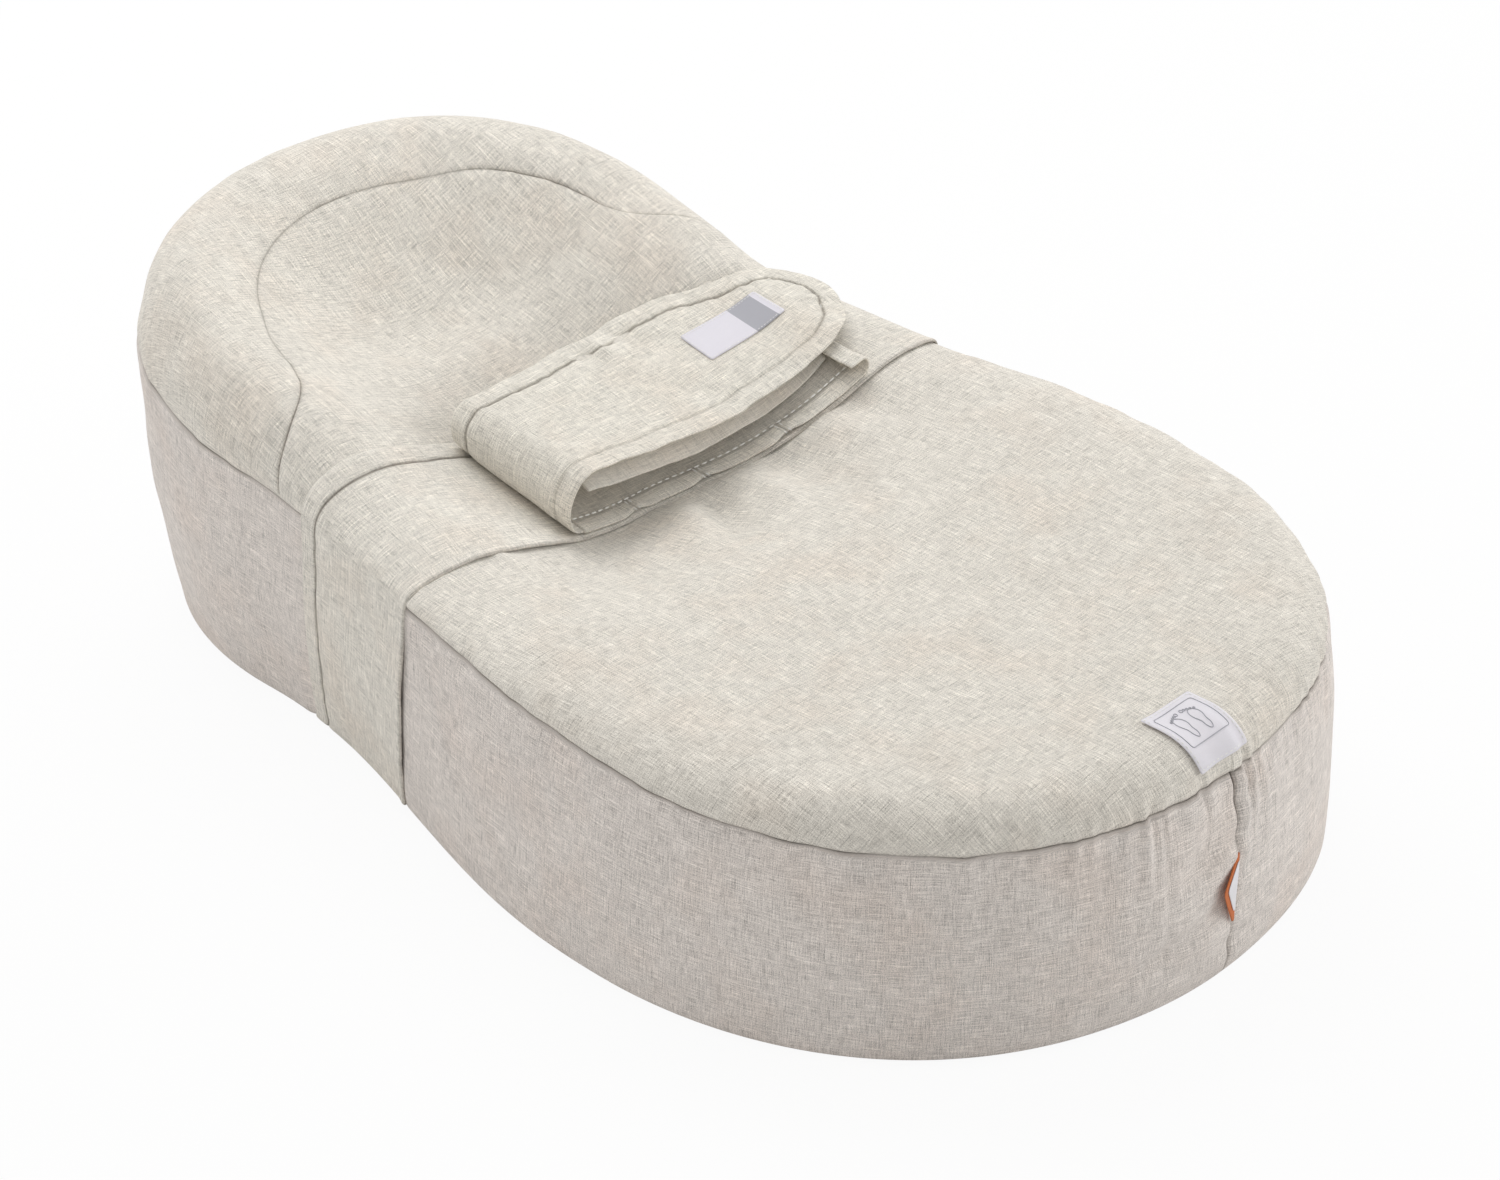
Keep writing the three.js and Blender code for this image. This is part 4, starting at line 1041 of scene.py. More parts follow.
def lifted(x, rows, height):
    """Points at a height over the nest round the waist"""
    forward = loop_places(x + 1, rows) - loop_places(x - 1, rows)
    round_it = loop_places(x, rows + 0.05) - loop_places(x, rows - 0.05)
    return loop_places(x, rows) + outwards(forward, round_it) * np.asarray(height)[..., None]


def row_at(x, y):
    """Row of the top that lies a distance across from the middle"""
    inner = half_width(x) - shoulder_width(x)
    over = np.arcsin(np.clip((np.abs(y) - inner) / shoulder_width(x), 0, 1))
    return np.sign(y) * np.where(np.abs(y) < inner, 6 * np.abs(y) / inner, 6 + 6 * over / math.pi)


waist_rows = np.linspace(-14, 14, 2801)
waist_line = loop_places(np.full(len(waist_rows), waist_middle), waist_rows)
waist_arcs = arc_lengths(waist_line)
print("round the waist", round(float(waist_arcs[-1] + 2 * abs(waist_line[0, 1]))), "mm")

# %% [markdown]
# ## The waist band
#
# The band is one strip of the same linen, sewn into a ring under the base. Along its head
# edge runs a hem strip 12 mm wide, sewn down with a line of small puckers, and its foot
# edge is a narrow rolled fold. It is a plain grid, finer where the ditch of the sewn line
# lies, and its height over the sheet is a sum of a few soft bumps.

# %% Waist band
band_width = 93.0
strip_width = 12.0
band_across = np.array([
    0, 0.7, 2, 4.5, 7.5, 9.8, 11, 11.6, 12, 12.4, 13, 14.2, 16.5, 20, 25, 31, 38, 45, 52, 59, 66, 72, 78, 83,
    86.5, 89, 90.8, 92.2, 93,
])
band_rows = np.interp(np.arange(0, waist_arcs[-1], 3.8), waist_arcs, waist_rows)
band_rows = np.append(band_rows, 14.0)
grid_across, grid_rows = np.meshgrid(band_across, band_rows, indexing="ij")
grid_along = np.interp(grid_rows, waist_rows, waist_arcs)
sewn_off = grid_across - strip_width
band_height = 2.2 + 0.2 * np.sin(np.clip(grid_across / strip_width, 0, 1) * math.pi)
band_height += -1.0 * bell(sewn_off, 0.7) + 0.5 * bell(grid_across - 91, 1.6)
band_height += 0.35 * swell(np.maximum(sewn_off, 0), 7)
band_height -= 0.8 * bell(grid_across, 0.6) + 0.8 * bell(band_width - grid_across, 0.6)
band_height += 0.5 * ripple(grid_along / 6, grid_across / 40, 4.4) * np.exp(-np.abs(sewn_off) / 8)
band_height += 0.45 * ripple(grid_along / 34, grid_across / 60, 7.7)
by_far_edge = np.exp(-(band_width - grid_across) / 16)
band_height += 0.30 * ripple(grid_along / 9, grid_across / 90, 3.9) * by_far_edge
band_height = np.clip(band_height, 1.25, 3.2)
wander = 0.7 * ripple(grid_along / 46, grid_across / 200, 6.6)
band_x = band_head_edge + grid_across + band_shift(grid_rows) + wander * np.cos(grid_rows / 14 * math.pi / 2)
band_most = mix(3.2, 2.6, ease((np.abs(grid_rows) - 11) / 2))
band_top = lifted(band_x, grid_rows, np.minimum(band_height, band_most))
base_share = np.linspace(0, 1, 25)[None, 1:-1, None]
band_half_under = mix(band_top[:, -1:], band_top[:, :1], base_share)
band_grid = np.concatenate([band_top, band_half_under], axis=1)
half_way = band_half_under.shape[1] // 2
band_grid = np.roll(band_grid, half_way, axis=1)
band_grid = np.concatenate([band_grid, band_grid[:, :1]], axis=1)
band_lengths = arc_lengths(band_grid[14])
band_cloth = pairs(-band_across, band_lengths)[:, ::-1]
# Painted shade for the band's colour: in the ditch of the hem strip's sewn line, and a painted shadow along
# its foot edge
band_painted_shade = 0.85 * bell(np.abs(band_across - strip_width), 0.8) + 0.35 * (band_across > 91.5)
band_painted_shade = np.repeat(band_painted_shade, band_grid.shape[1])
waist_band = grid_piece("linen_band", band_grid, band_cloth, linen_band, band_painted_shade)
smooth_cloth(waist_band, linen_thickness)
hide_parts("waist_band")
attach(waist_band, "nest")
print("band", round(float(band_lengths[-1])), "mm round,", len(waist_band.data.polygons), "faces")

# %% [markdown]
# ## The belt's base
#
# The belt starts as a strip that is sewn flat on the band. Its foot edge has a hem strip
# with three cross seams, and its far end curls up on itself, more towards the feet. The
# curl is drawn as part of the same grid: past the end of the flat part each line of points
# turns over half a circle and runs back a little.

# %% Belt base
base_head_x, base_foot_x = -121.0, -35.5
base_near_y, base_far_y = -62.0, 131.0
base_top = 4.7
cross_seams = (-20.0, 29.0, 80.0)
base_strip = 10.0


def curl_share(x):
    return mix(0.4, 1.0, np.clip((x + 126) / 93, 0, 1) ** 3)


base_across = np.array([
    0, 0.8, 3, 8, 15, 22, 29, 36, 43, 50, 57, 64, 69, 72.5, 74.2, 75, 75.5, 76, 76.8,
    78.5, 81, 83.3, 84.7, 85.5,
])
base_y = np.concatenate([np.arange(base_near_y, base_far_y, 2.6), [base_far_y]])
for seam in cross_seams:
    nearest = int(np.argmin(np.abs(base_y - seam)))
    base_y[nearest] = seam
    base_y = np.sort(np.append(base_y, [seam - 0.8, seam + 0.8]))
curl_turns = np.linspace(0, 1, 11)[1:]
grid_a, grid_y = np.meshgrid(base_across, base_y, indexing="ij")
from_edge = 85.5 - grid_a
base_height = base_top + 0 * grid_a
base_height -= 0.8 * bell(from_edge - base_strip, 0.8)
base_height += 0.5 * np.sin(np.clip(from_edge / base_strip, 0, 1) * math.pi)
base_height -= 0.7 * bell(from_edge, 0.6) + 0.7 * bell(grid_a, 0.6)
wobble = ripple(grid_y / 8, grid_a / 30, 2.2)
base_height += 0.35 * wobble * np.exp(-np.abs(from_edge - base_strip) / 7)
for seam in cross_seams:
    groove = bell(grid_y - seam, 0.9) - 0.5 * bell(grid_y - seam, 3.5)
    base_height -= 0.8 * groove * ease((13 - from_edge) / 4)
    base_height += 0.7 * bell(grid_y - seam, 9) * bell(from_edge, 5)
base_height += 0.35 * ripple(grid_y / 30, grid_a / 30, 8.1)
pinch = sum(bell(grid_y - seam, 6) for seam in cross_seams)
grid_x = base_head_x + grid_a + (0.8 - 2.2 * pinch) * (grid_a / 85.5) ** 10
base_rows = row_at(grid_x, grid_y)
base_grid = lifted(grid_x + band_shift(base_rows), base_rows, np.maximum(base_height, 4.55))
end_place = base_grid[:, -1]
end_way = base_grid[:, -1] - base_grid[:, -3]
end_way[:, 0] = 0
end_way /= np.linalg.norm(end_way, axis=1, keepdims=True)
end_up = np.stack([0 * end_way[:, 0], -end_way[:, 2], end_way[:, 1]], axis=-1)
curl_radius = (5.2 * curl_share(base_head_x + base_across))[:, None]
curl = [
    end_place + end_way * curl_radius * math.sin(t * math.pi)
    + end_up * curl_radius * (1 - math.cos(t * math.pi))
    for t in curl_turns
]
curl += [curl[-1] - end_way * back + end_up * rise for back, rise in ((2.5, 0.0), (5.0, 0.2), (8.0, 0.3))]
base_grid = np.concatenate([base_grid, np.stack(curl, axis=1)], axis=1)
base_lengths = arc_lengths(base_grid[12])
base_cloth = pairs(base_across, base_lengths + 31)[:, ::-1]
# Painted shade for the base's colour: in the ditch of the hem strip's sewn line and along the cross seams,
# and half as much over the whole base inside the hem strip, where the leaf shades it
base_painted_shade = np.zeros(base_grid.shape[:2])
base_shade_lines = [bell(from_edge - base_strip, 0.8) + 0.5 * (from_edge > base_strip + 0.4)]
base_shade_lines += [bell(grid_y - seam, 0.7) * (from_edge < base_strip) for seam in cross_seams]
base_painted_shade[:, :len(base_y)] = np.max(base_shade_lines, axis=0)
base_painted_shade = 0.5 * np.minimum(base_painted_shade, 1.2)
belt_base = grid_piece("linen_belt_base", base_grid, base_cloth, linen_belt, base_painted_shade)
smooth_cloth(belt_base, linen_thickness)
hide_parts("belt_base")
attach(belt_base, "nest")
print("belt base curl radius", curl_radius.min().round(1), "to", curl_radius.max())

# %% [markdown]
# ## Leaf and fold of the belt
#
# The belt turns over at its near side in a soft fold and comes back as a leaf that ends
# round on the far rim. Fold and leaf are one cloth, so they are drafted as one flat pattern:
# across it goes x, and along it goes the way from the base, over the fold and out to the
# round end. The hem strip follows the outline 12 mm inside it, so the pattern is
# triangulated with rows of points on the outline and on the sewn line.

# %% Rules for the leaf
leaf_head_x, leaf_foot_x = -119.0, -26.0
leaf_near_y, leaf_taper_y, leaf_round_y, leaf_end_y = -56.7, 84.8, 125.8, 171.8
leaf_low_y, leaf_hump_y = 51.8, 137.8
leaf_middle_x = (leaf_head_x + leaf_foot_x) / 2
leaf_half = (leaf_foot_x - leaf_head_x) / 2
leaf_head_z = rim_height(leaf_head_x) - 1
leaf_foot_z = rim_height(leaf_foot_x) + 13.5
fold_length, fold_bulge = 47.0, 13.0


def leaf_height(x, y):
    """The foot edge sags in the middle, and the leaf rises over the curl"""
    to_foot = (x - leaf_head_x) / (leaf_foot_x - leaf_head_x)
    across = np.clip(np.abs(y - leaf_low_y) / 107.8, 0, 1) ** 1.5
    sag = mix(-1.5, 12, to_foot) * (1 - across)
    hump = 5 * curl_share(x) * bell(y - leaf_hump_y, 17)
    return mix(leaf_head_z, leaf_foot_z, to_foot) - sag + hump - 0.8 * ease((y - leaf_hump_y) / 34)


def belt_places(u, v):
    """Points of the leaf for v above 0, and of the fold for v down to minus its length"""
    y = leaf_near_y + np.maximum(v, 0)
    flat = np.stack([u + 0 * y, y, leaf_height(u, y)], axis=-1)
    turn = math.pi / 2 - math.pi * np.clip(-v / fold_length, 0, 1)
    rise = ((np.sin(turn) + 1) / 2)[..., None]
    low_x = base_head_x + (u - leaf_head_x) * (base_foot_x - base_head_x) / (leaf_foot_x - leaf_head_x)
    low_row = row_at(low_x, np.full_like(low_x, base_near_y - 0.5))
    low = lifted(low_x + band_shift(low_row), low_row, np.full_like(low_x, base_top - 0.3))
    bent = mix(low, flat, rise)
    bent[..., 1] -= fold_bulge * np.cos(turn)
    return np.where((v < 0)[..., None], bent, flat)


def belt_lifted(u, v, height):
    across = belt_places(u + 0.5, v) - belt_places(u - 0.5, v)
    along = belt_places(u, v + 0.5) - belt_places(u, v - 0.5)
    return belt_places(u, v) + outwards(across, along) * np.asarray(height)[..., None]


print("leaf", leaf_head_z.round(1), "mm high at the head side,", leaf_foot_z.round(1), "at the foot side")

# %% The leaf's pattern
end_turns = np.linspace(0, math.pi / 2, 40)
foot_side_v = np.linspace(-fold_length, leaf_round_y - leaf_near_y, 60)
foot_side = np.stack([np.full(60, leaf_foot_x), foot_side_v], axis=-1)
round_y = leaf_round_y + (leaf_end_y - leaf_round_y) * np.sin(end_turns)
end_foot = np.stack([leaf_middle_x + leaf_half * np.cos(end_turns), round_y - leaf_near_y], axis=-1)
tapered = leaf_half - 0.2 * np.maximum(0, round_y - leaf_taper_y)
end_head_x = leaf_middle_x - np.minimum(leaf_half * np.cos(end_turns), tapered)
end_head = np.stack([end_head_x, round_y - leaf_near_y], axis=-1)
straight_y = np.array([leaf_taper_y, -fold_length + leaf_near_y]) - leaf_near_y
head_side = np.stack([np.full(2, leaf_head_x), straight_y], axis=-1)
outline = evenly(np.concatenate([foot_side, end_foot[1:], end_head[::-1][1:], head_side]), 1.0)
smooth = np.stack([np.convolve(outline[:, k], np.ones(15) / 15, mode="valid") for k in range(2)], axis=-1)
outline = np.concatenate([outline[:7], smooth, outline[-7:]])
outline_step = 2.5
outline = evenly(outline, outline_step)
outline_along = np.arange(len(outline)) * outline_step
waves = 1.2 * ripple(outline_along / 24, 0, 3.3) * ease(outline_along / 30)
outline_way = np.gradient(outline, axis=0)
outline_way /= np.linalg.norm(outline_way, axis=1, keepdims=True)
outline_in = np.stack([-outline_way[:, 1], outline_way[:, 0]], axis=-1)
outline = outline - outline_in * waves[:, None]


def inset_line(inside):
    return outline + outline_in * inside


low_edge = evenly(np.stack([outline[-1], outline[0]]), 3.0)[1:-1]
leaf_lines = [inset_line(d) for d in (0.9, 2.6, 10.6, 11.4, 12.0, 12.6, 13.6)]
lattice = np.array([
    (u + (1.6 if n % 2 else 0), v)
    for n, v in enumerate(np.arange(-fold_length + 2, leaf_end_y - leaf_near_y, 2.8))
    for u in np.arange(leaf_head_x, leaf_foot_x, 3.2)
])
away_out, which_out = nearest_on(lattice, outline)
inside = np.einsum("ij,ij->i", lattice - outline[which_out], outline_in[which_out]) > 0
lattice = lattice[inside & (away_out > 4.4) & (np.abs(away_out - 12) > 3.2)]
border = np.concatenate([outline, low_edge])
leaf_flat, leaf_faces, _ = draw_pattern([border], leaf_lines, lattice, border)
print("leaf pattern", len(leaf_flat), "points,", len(leaf_faces), "triangles")

# %% Leaf and fold
leaf_away, leaf_which = nearest_on(leaf_flat, outline)
leaf_along = leaf_which * outline_step
foot_length = fold_length + leaf_round_y - leaf_near_y
sewn_strength = mix(0.45, 1.0, ease((leaf_along - foot_length + 10) / 50))
from_ditch = leaf_away - strip_width
leaf_lift = 0.75 + 0.25 * sewn_strength * np.sin(np.clip(leaf_away / strip_width, 0, 1) * math.pi)
leaf_lift -= 1.25 * sewn_strength * bell(from_ditch, 0.8)
leaf_lift += 0.5 * sewn_strength * swell(np.maximum(from_ditch, 0), 6)
leaf_lift -= 0.5 * bell(leaf_away, 0.7)
leaf_puckers = ripple(leaf_along / 6.5, leaf_away / 60, 1.9) * np.exp(-np.abs(from_ditch) / 9)
leaf_lift += 1.15 * sewn_strength * leaf_puckers
leaf_lift += 0.5 * ripple(leaf_flat[:, 0] / 36, leaf_flat[:, 1] / 36, 5.5)
edge_waves = ripple(leaf_flat[:, 0] / 30, leaf_flat[:, 1] / 9, 6.5) * np.exp(-leaf_away / 14)
leaf_lift += 0.5 * edge_waves * (1 - sewn_strength)
leaf_dents = (
    ((-107, 18), (-88, 14), 7, -1.6),
    ((-107, 50), (-84, 62), 7, -1.7),
    ((-104, 34), (-86, 40), 6, 1.2),
    ((-58, 44), (-34, 60), 8, -1.4),
    ((-98, -44), (-60, -30), 9, 1.0),
    ((-48, 104), (-32, 116), 7, 1.1),
)
for start, end, width, height in leaf_dents:
    start = np.array(start, float) - (0, leaf_near_y)
    end = np.array(end, float) - (0, leaf_near_y)
    run = end - start
    share = np.clip(((leaf_flat - start) @ run) / (run @ run), 0, 1)
    gap = np.linalg.norm(leaf_flat - start - share[:, None] * run, axis=1)
    leaf_lift += height * bell(gap, width) * mix(1, 0.4, share)
fold_part = np.clip(-leaf_flat[:, 1] / fold_length, 0, 1)
leaf_lift = mix(leaf_lift, np.clip(leaf_lift, 0.2, 0.9), ease((fold_part - 0.6) / 0.3))
# Painted shade for the leaf's colour in the ditch of its hem strip's sewn line
leaf_painted_shade = 0.75 * sewn_strength * bell(from_ditch, 0.8)
leaf_places = belt_lifted(*leaf_flat.T, leaf_lift)
belt_leaf = make_piece("linen_belt_leaf", leaf_places, leaf_faces, leaf_flat[:, ::-1], linen_belt, leaf_painted_shade)
quads_from_triangles(belt_leaf)
smooth_cloth(belt_leaf, linen_thickness)
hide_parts("belt_leaf", "belt_fold")
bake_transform(belt_leaf)
leaf_points = np.array([v.co for v in belt_leaf.data.vertices])
print("highest point of the leaf", (leaf_points[:, 2].max() * 1000).round(1), "mm")

# %% [markdown]
# ## Lining of the leaf
#
# Under the leaf hangs a second ply. It is narrower, and its foot edge has dropped away from
# the leaf by about a finger's width, so a shaded strip of it shows between leaf and base.

# %% Lining
lining_x = np.concatenate([np.linspace(-114, -50, 14), np.linspace(-46.5, -25.5, 12)])
lining_y = np.linspace(-60, 127, 63)
grid_x, grid_y = np.meshgrid(lining_x, lining_y, indexing="ij")
to_edge = np.clip((grid_x + 66) / 40.5, 0, 1)
lining_hang = mix(1.0, 0.55, ease((grid_y - 92) / 34)) * mix(0.8, 1.0, ease((grid_y + 60) / 20))
lining_drop = 1.5 + 11.0 * to_edge**1.6 * lining_hang
waver = 0.9 * ripple(grid_y / 26, grid_x / 60, 4.8) + 0.35 * ripple(grid_y / 9, grid_x / 50, 1.2)
lining_drop += to_edge * waver
lining_z = leaf_height(grid_x, grid_y) - lining_drop
lining_places = np.stack([grid_x - 1.5 * to_edge**4, grid_y, lining_z], axis=-1)
belt_lining = grid_piece("belt_lining", lining_places, pairs(lining_x, lining_y)[:, ::-1], lining_cloth)
smooth_cloth(belt_lining, 0.8)
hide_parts("belt_leaf_lining")
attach(belt_lining, "belt")
print("lining", len(belt_lining.data.polygons), "faces")

# %% [markdown]
# ## Labels
#
# Two woven labels are sewn on: a long one on the leaf and a square one at the foot. They are
# satin, much finer than the linen, so they take the same thread group at a smaller pitch. A
# label lies on the cloth under it without following each pucker, so its height is the mean
# of the cloth round each of its points. The long label is pale with one grey block. The
# square one has a thin frame with the outline of two small soles, so a parent sees at once
# where the feet go.

# %% Label satin
def label_finish(name, colour, block_colour=None, block=(0.0, 0.0)):
    material = linen_finish(name, colour, streaks=0.06, patches=0.03, pitch=0.00035, relief=0.0002)
    tree = material.node_tree
    tree.nodes["Principled BSDF"].inputs["Sheen Weight"].default_value = 0.15
    if block_colour:
        weave = next(n for n in tree.nodes if n.bl_idname == "ShaderNodeGroup")
        cloth_map = next(n for n in tree.nodes if n.bl_idname == "ShaderNodeUVMap")
        parts = tree.nodes.new("ShaderNodeSeparateXYZ")
        tree.links.new(cloth_map.outputs["UV"], parts.inputs[0])
        after = math_node(tree, "GREATER_THAN", parts.outputs[0], block[0])
        before = math_node(tree, "LESS_THAN", parts.outputs[0], block[1])
        mask = math_node(tree, "MULTIPLY", after, before)
        blocked = blend_node(tree, mask, (*colour, 1.0), (*block_colour, 1.0))
        tree.links.new(blocked, weave.inputs["Colour"])
    return material


belt_label_satin = label_finish("belt_label_satin", (0.76, 0.74, 0.80), (0.42, 0.42, 0.46), (0.0375, 0.0555))
foot_label_satin = label_finish("foot_label_satin", (0.80, 0.78, 0.83))
print("label finishes ready")

# %% Label on the leaf
label_u = np.linspace(-87, -63, 13)
label_v = np.linspace(73.5, 133.5, 27) - leaf_near_y
label_places = pairs(label_u, label_v)


def on_the_leaf(flat, rise):
    """Points a little over the leaf"""
    near = np.exp(-(((flat[:, None] - leaf_flat[None]) ** 2).sum(axis=2)) / 5.0**2)
    return belt_lifted(*flat.T, (near @ leaf_lift) / near.sum(axis=1) + rise)


label_cloth = (label_places - (label_u[0], label_v[0]))[:, ::-1]
label_faces = grid_faces(len(label_u), len(label_v))
belt_label = make_piece(
    "belt_woven_label", on_the_leaf(label_places, 0.75), label_faces, label_cloth, belt_label_satin
)
smooth_cloth(belt_label, label_thickness)
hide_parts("belt_label")
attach(belt_label, "belt")
print("belt label", [round(c * 1000, 1) for c in cut_size(belt_label, 60.0)], "mm")

# %% Label at the foot
foot_x = np.linspace(310.5, 351.5, 22)
foot_y = np.linspace(-23, 15, 18)


def on_the_sheet(flat, rise):
    """Points a little over the top panel, and more so at the label's near edge"""
    near = np.exp(-(((flat[:, None] - flat_top[None]) ** 2).sum(axis=2)) / 4.0**2)
    lift = (near @ change[:top_count]) / near.sum(axis=1) + rise + 0.9 * bell(flat[:, 1] - foot_y[0], 5)
    forward = top_places(flat[:, 0] + 0.5, flat[:, 1]) - top_places(flat[:, 0] - 0.5, flat[:, 1])
    sideways = top_places(flat[:, 0], flat[:, 1] + 0.5) - top_places(flat[:, 0], flat[:, 1] - 0.5)
    return top_places(*flat.T) + outwards(forward, sideways) * lift[:, None]


foot_flat = pairs(foot_x, foot_y)
foot_faces = grid_faces(len(foot_x), len(foot_y))
foot_places = on_the_sheet(foot_flat, 0.9)
foot_label = make_piece("foot_woven_label", foot_places, foot_faces, foot_flat, foot_label_satin)
smooth_cloth(foot_label, label_thickness)
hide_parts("foot_label")
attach(foot_label, "nest")
print("foot label", [round(c * 1000, 1) for c in cut_size(foot_label, 41.0)], "mm")

# %% Frame and soles on the foot label
def closed_line(points, count):
    line = evenly(np.concatenate([points, points[:1]]), 1.0)
    arcs = np.linspace(0, len(line) - 1, count + 1)[:-1]
    return np.stack([np.interp(arcs, np.arange(len(line)), line[:, k]) for k in range(2)], axis=-1)


def rounded_rectangle(low_x, high_x, low_y, high_y, corner, step):
    places = []
    for cx, cy, from_turn in (
        (high_x - corner, high_y - corner, 0), (low_x + corner, high_y - corner, 90),
        (low_x + corner, low_y + corner, 180), (high_x - corner, low_y + corner, 270),
    ):
        for turn in np.radians(np.linspace(from_turn, from_turn + 90, step)):
            places.append((cx + corner * math.cos(turn), cy + corner * math.sin(turn)))
    return np.array(places)


def foot_print(middle_x, middle_y, side):
    """Outlines of a small sole, wide at the ball and narrow at the arch, and of its toes"""
    turn = np.linspace(0, 2 * math.pi, 48, endpoint=False)
    wide = 3.1 - 0.8 * np.cos(turn) - 1.0 * bell(np.cos(turn) - 0.25, 0.35)
    across = middle_y + side * 0.9 * np.sin(turn / 2) ** 2 + wide * np.sin(turn)
    lines = [np.stack([middle_x + 1.6 + 7.6 * np.cos(turn), across], axis=-1)]
    turn = turn[::4]
    for toe in range(5):
        size = (1.1, 0.8, 0.75, 0.7, 0.65)[toe]
        place = (middle_x - 7.7 + 0.34 * toe**1.5, middle_y + side * (1.7 * toe - 2.9))
        round_x, round_y = place[0] + size * np.cos(turn), place[1] + size * 0.8 * np.sin(turn)
        lines.append(np.stack([round_x, round_y], axis=-1))
    return lines


frame_inset = 4.4
label_middle = ((foot_x[0] + foot_x[-1]) / 2 - 4, (foot_y[0] + foot_y[-1]) / 2)
frame_x = (foot_x[0] + frame_inset, foot_x[-1] - 3 * frame_inset + 1)
frame_y = (foot_y[0] + frame_inset, foot_y[-1] - frame_inset + 0.6)
print_lines = [closed_line(rounded_rectangle(*frame_x, *frame_y, 1.4, 7), 130)]
for side in (-1, 1):
    print_lines += foot_print(label_middle[0], label_middle[1] + side * 5.0, side)
outlines = bpy.data.curves.new("foot_label_outlines", "CURVE")
outlines.dimensions = "3D"
outlines.bevel_depth = 0.00022
outlines.bevel_resolution = 1
for line in print_lines:
    spline = outlines.splines.new("POLY")
    spline.points.add(len(line) - 1)
    for point, place in zip(spline.points, in_frame(on_the_sheet(line, 1.0))):
        point.co = (*place, 1.0)
    spline.use_cyclic_u = True
drawn = add_object("drawn", outlines)
bpy.context.view_layer.update()
print_mesh = bpy.data.meshes.new_from_object(drawn.evaluated_get(bpy.context.evaluated_depsgraph_get()))
bpy.data.objects.remove(drawn)
label_outlines = add_object("foot_label_outlines", print_mesh)


def shade_colour(tree, shader, colour, shade):
    """The finish's own colour, lighter and darker by a shade"""
    plain = tree.nodes.new("ShaderNodeRGB")
    plain.outputs[0].default_value = (*colour, 1.0)
    tree.links.new(vector_node(tree, "SCALE", plain.outputs[0], shade), shader.inputs["Base Color"])


def thread_finish(name, colour):
    """Twisted thread, with light and dark along it"""
    material, tree, shader = new_finish(name)
    place = tree.nodes.new("ShaderNodeTexCoord").outputs["Object"]
    twist = cloud_node(tree, place, 900.0, 2.0, "3D")
    shade_colour(tree, shader, colour, range_node(tree, twist, 0.3, 0.7, 0.85, 1.1))
    add_bump(tree, shader, twist, 0.0002)
    shader.inputs["Roughness"].default_value = 0.55
    return material


grey_thread = thread_finish("grey_thread", (0.36, 0.36, 0.40))
white_thread = thread_finish("white_thread", (0.90, 0.89, 0.86))
print_mesh.materials.clear()
print_mesh.materials.append(grey_thread)
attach(label_outlines, "nest")
print("outlines on the foot label:", len(print_mesh.polygons), "faces")

# %% [markdown]
# ## Stitches
#
# A row of stitches is the same small thing repeated, which is what Geometry Nodes does best.
# The tree takes a line, walks along it in equal steps and lays a short thread on each step,
# turned along the line and a little uneven. The rows of each piece are gathered in one mesh.

# %% The stitch tree
def stitch_tree():
    tree = bpy.data.node_groups.new("stitch_row", "GeometryNodeTree")
    add_sockets(tree, "INPUT", (
        ("Line", "Geometry"), ("Step", "Float"), ("Length", "Float"), ("Thickness", "Float"),
        ("Seed", "Int"), ("Thread", "Material"),
    ))
    add_sockets(tree, "OUTPUT", (("Stitches", "Geometry"),))
    given, result, curve, steps, places, thread, size, uneven, scaled, laid, real, coloured = (
        tree.nodes.new(kind) for kind in (
            "NodeGroupInput", "NodeGroupOutput", "GeometryNodeMeshToCurve", "GeometryNodeResampleCurve",
            "GeometryNodeCurveToPoints", "GeometryNodeMeshUVSphere", "ShaderNodeCombineXYZ",
            "FunctionNodeRandomValue", "ShaderNodeVectorMath", "GeometryNodeInstanceOnPoints",
            "GeometryNodeRealizeInstances", "GeometryNodeSetMaterial",
        )
    )
    steps.mode = "LENGTH"
    places.mode = "EVALUATED"
    thread.inputs["Segments"].default_value = 6
    thread.inputs["Rings"].default_value = 5
    thread.inputs["Radius"].default_value = 0.5
    uneven.data_type = "FLOAT"
    uneven.inputs[2].default_value = 0.85
    uneven.inputs[3].default_value = 1.1
    scaled.operation = "SCALE"
    for source, out, target, into in (
        (given, "Line", curve, "Mesh"), (curve, "Curve", steps, "Curve"), (given, "Step", steps, "Length"),
        (steps, "Curve", places, "Curve"), (given, "Thickness", size, "X"), (given, "Thickness", size, "Y"),
        (given, "Length", size, "Z"), (given, "Seed", uneven, "Seed"), (size, "Vector", scaled, 0),
        (uneven, 1, scaled, "Scale"), (places, "Points", laid, "Points"),
        (places, "Rotation", laid, "Rotation"), (thread, "Mesh", laid, "Instance"),
        (scaled, "Vector", laid, "Scale"), (laid, "Instances", real, "Geometry"),
        (real, "Geometry", coloured, "Geometry"), (given, "Thread", coloured, "Material"),
        (coloured, "Geometry", result, "Stitches"),
    ):
        tree.links.new(source.outputs[out], target.inputs[into])
    return tree


stitch_row = stitch_tree()


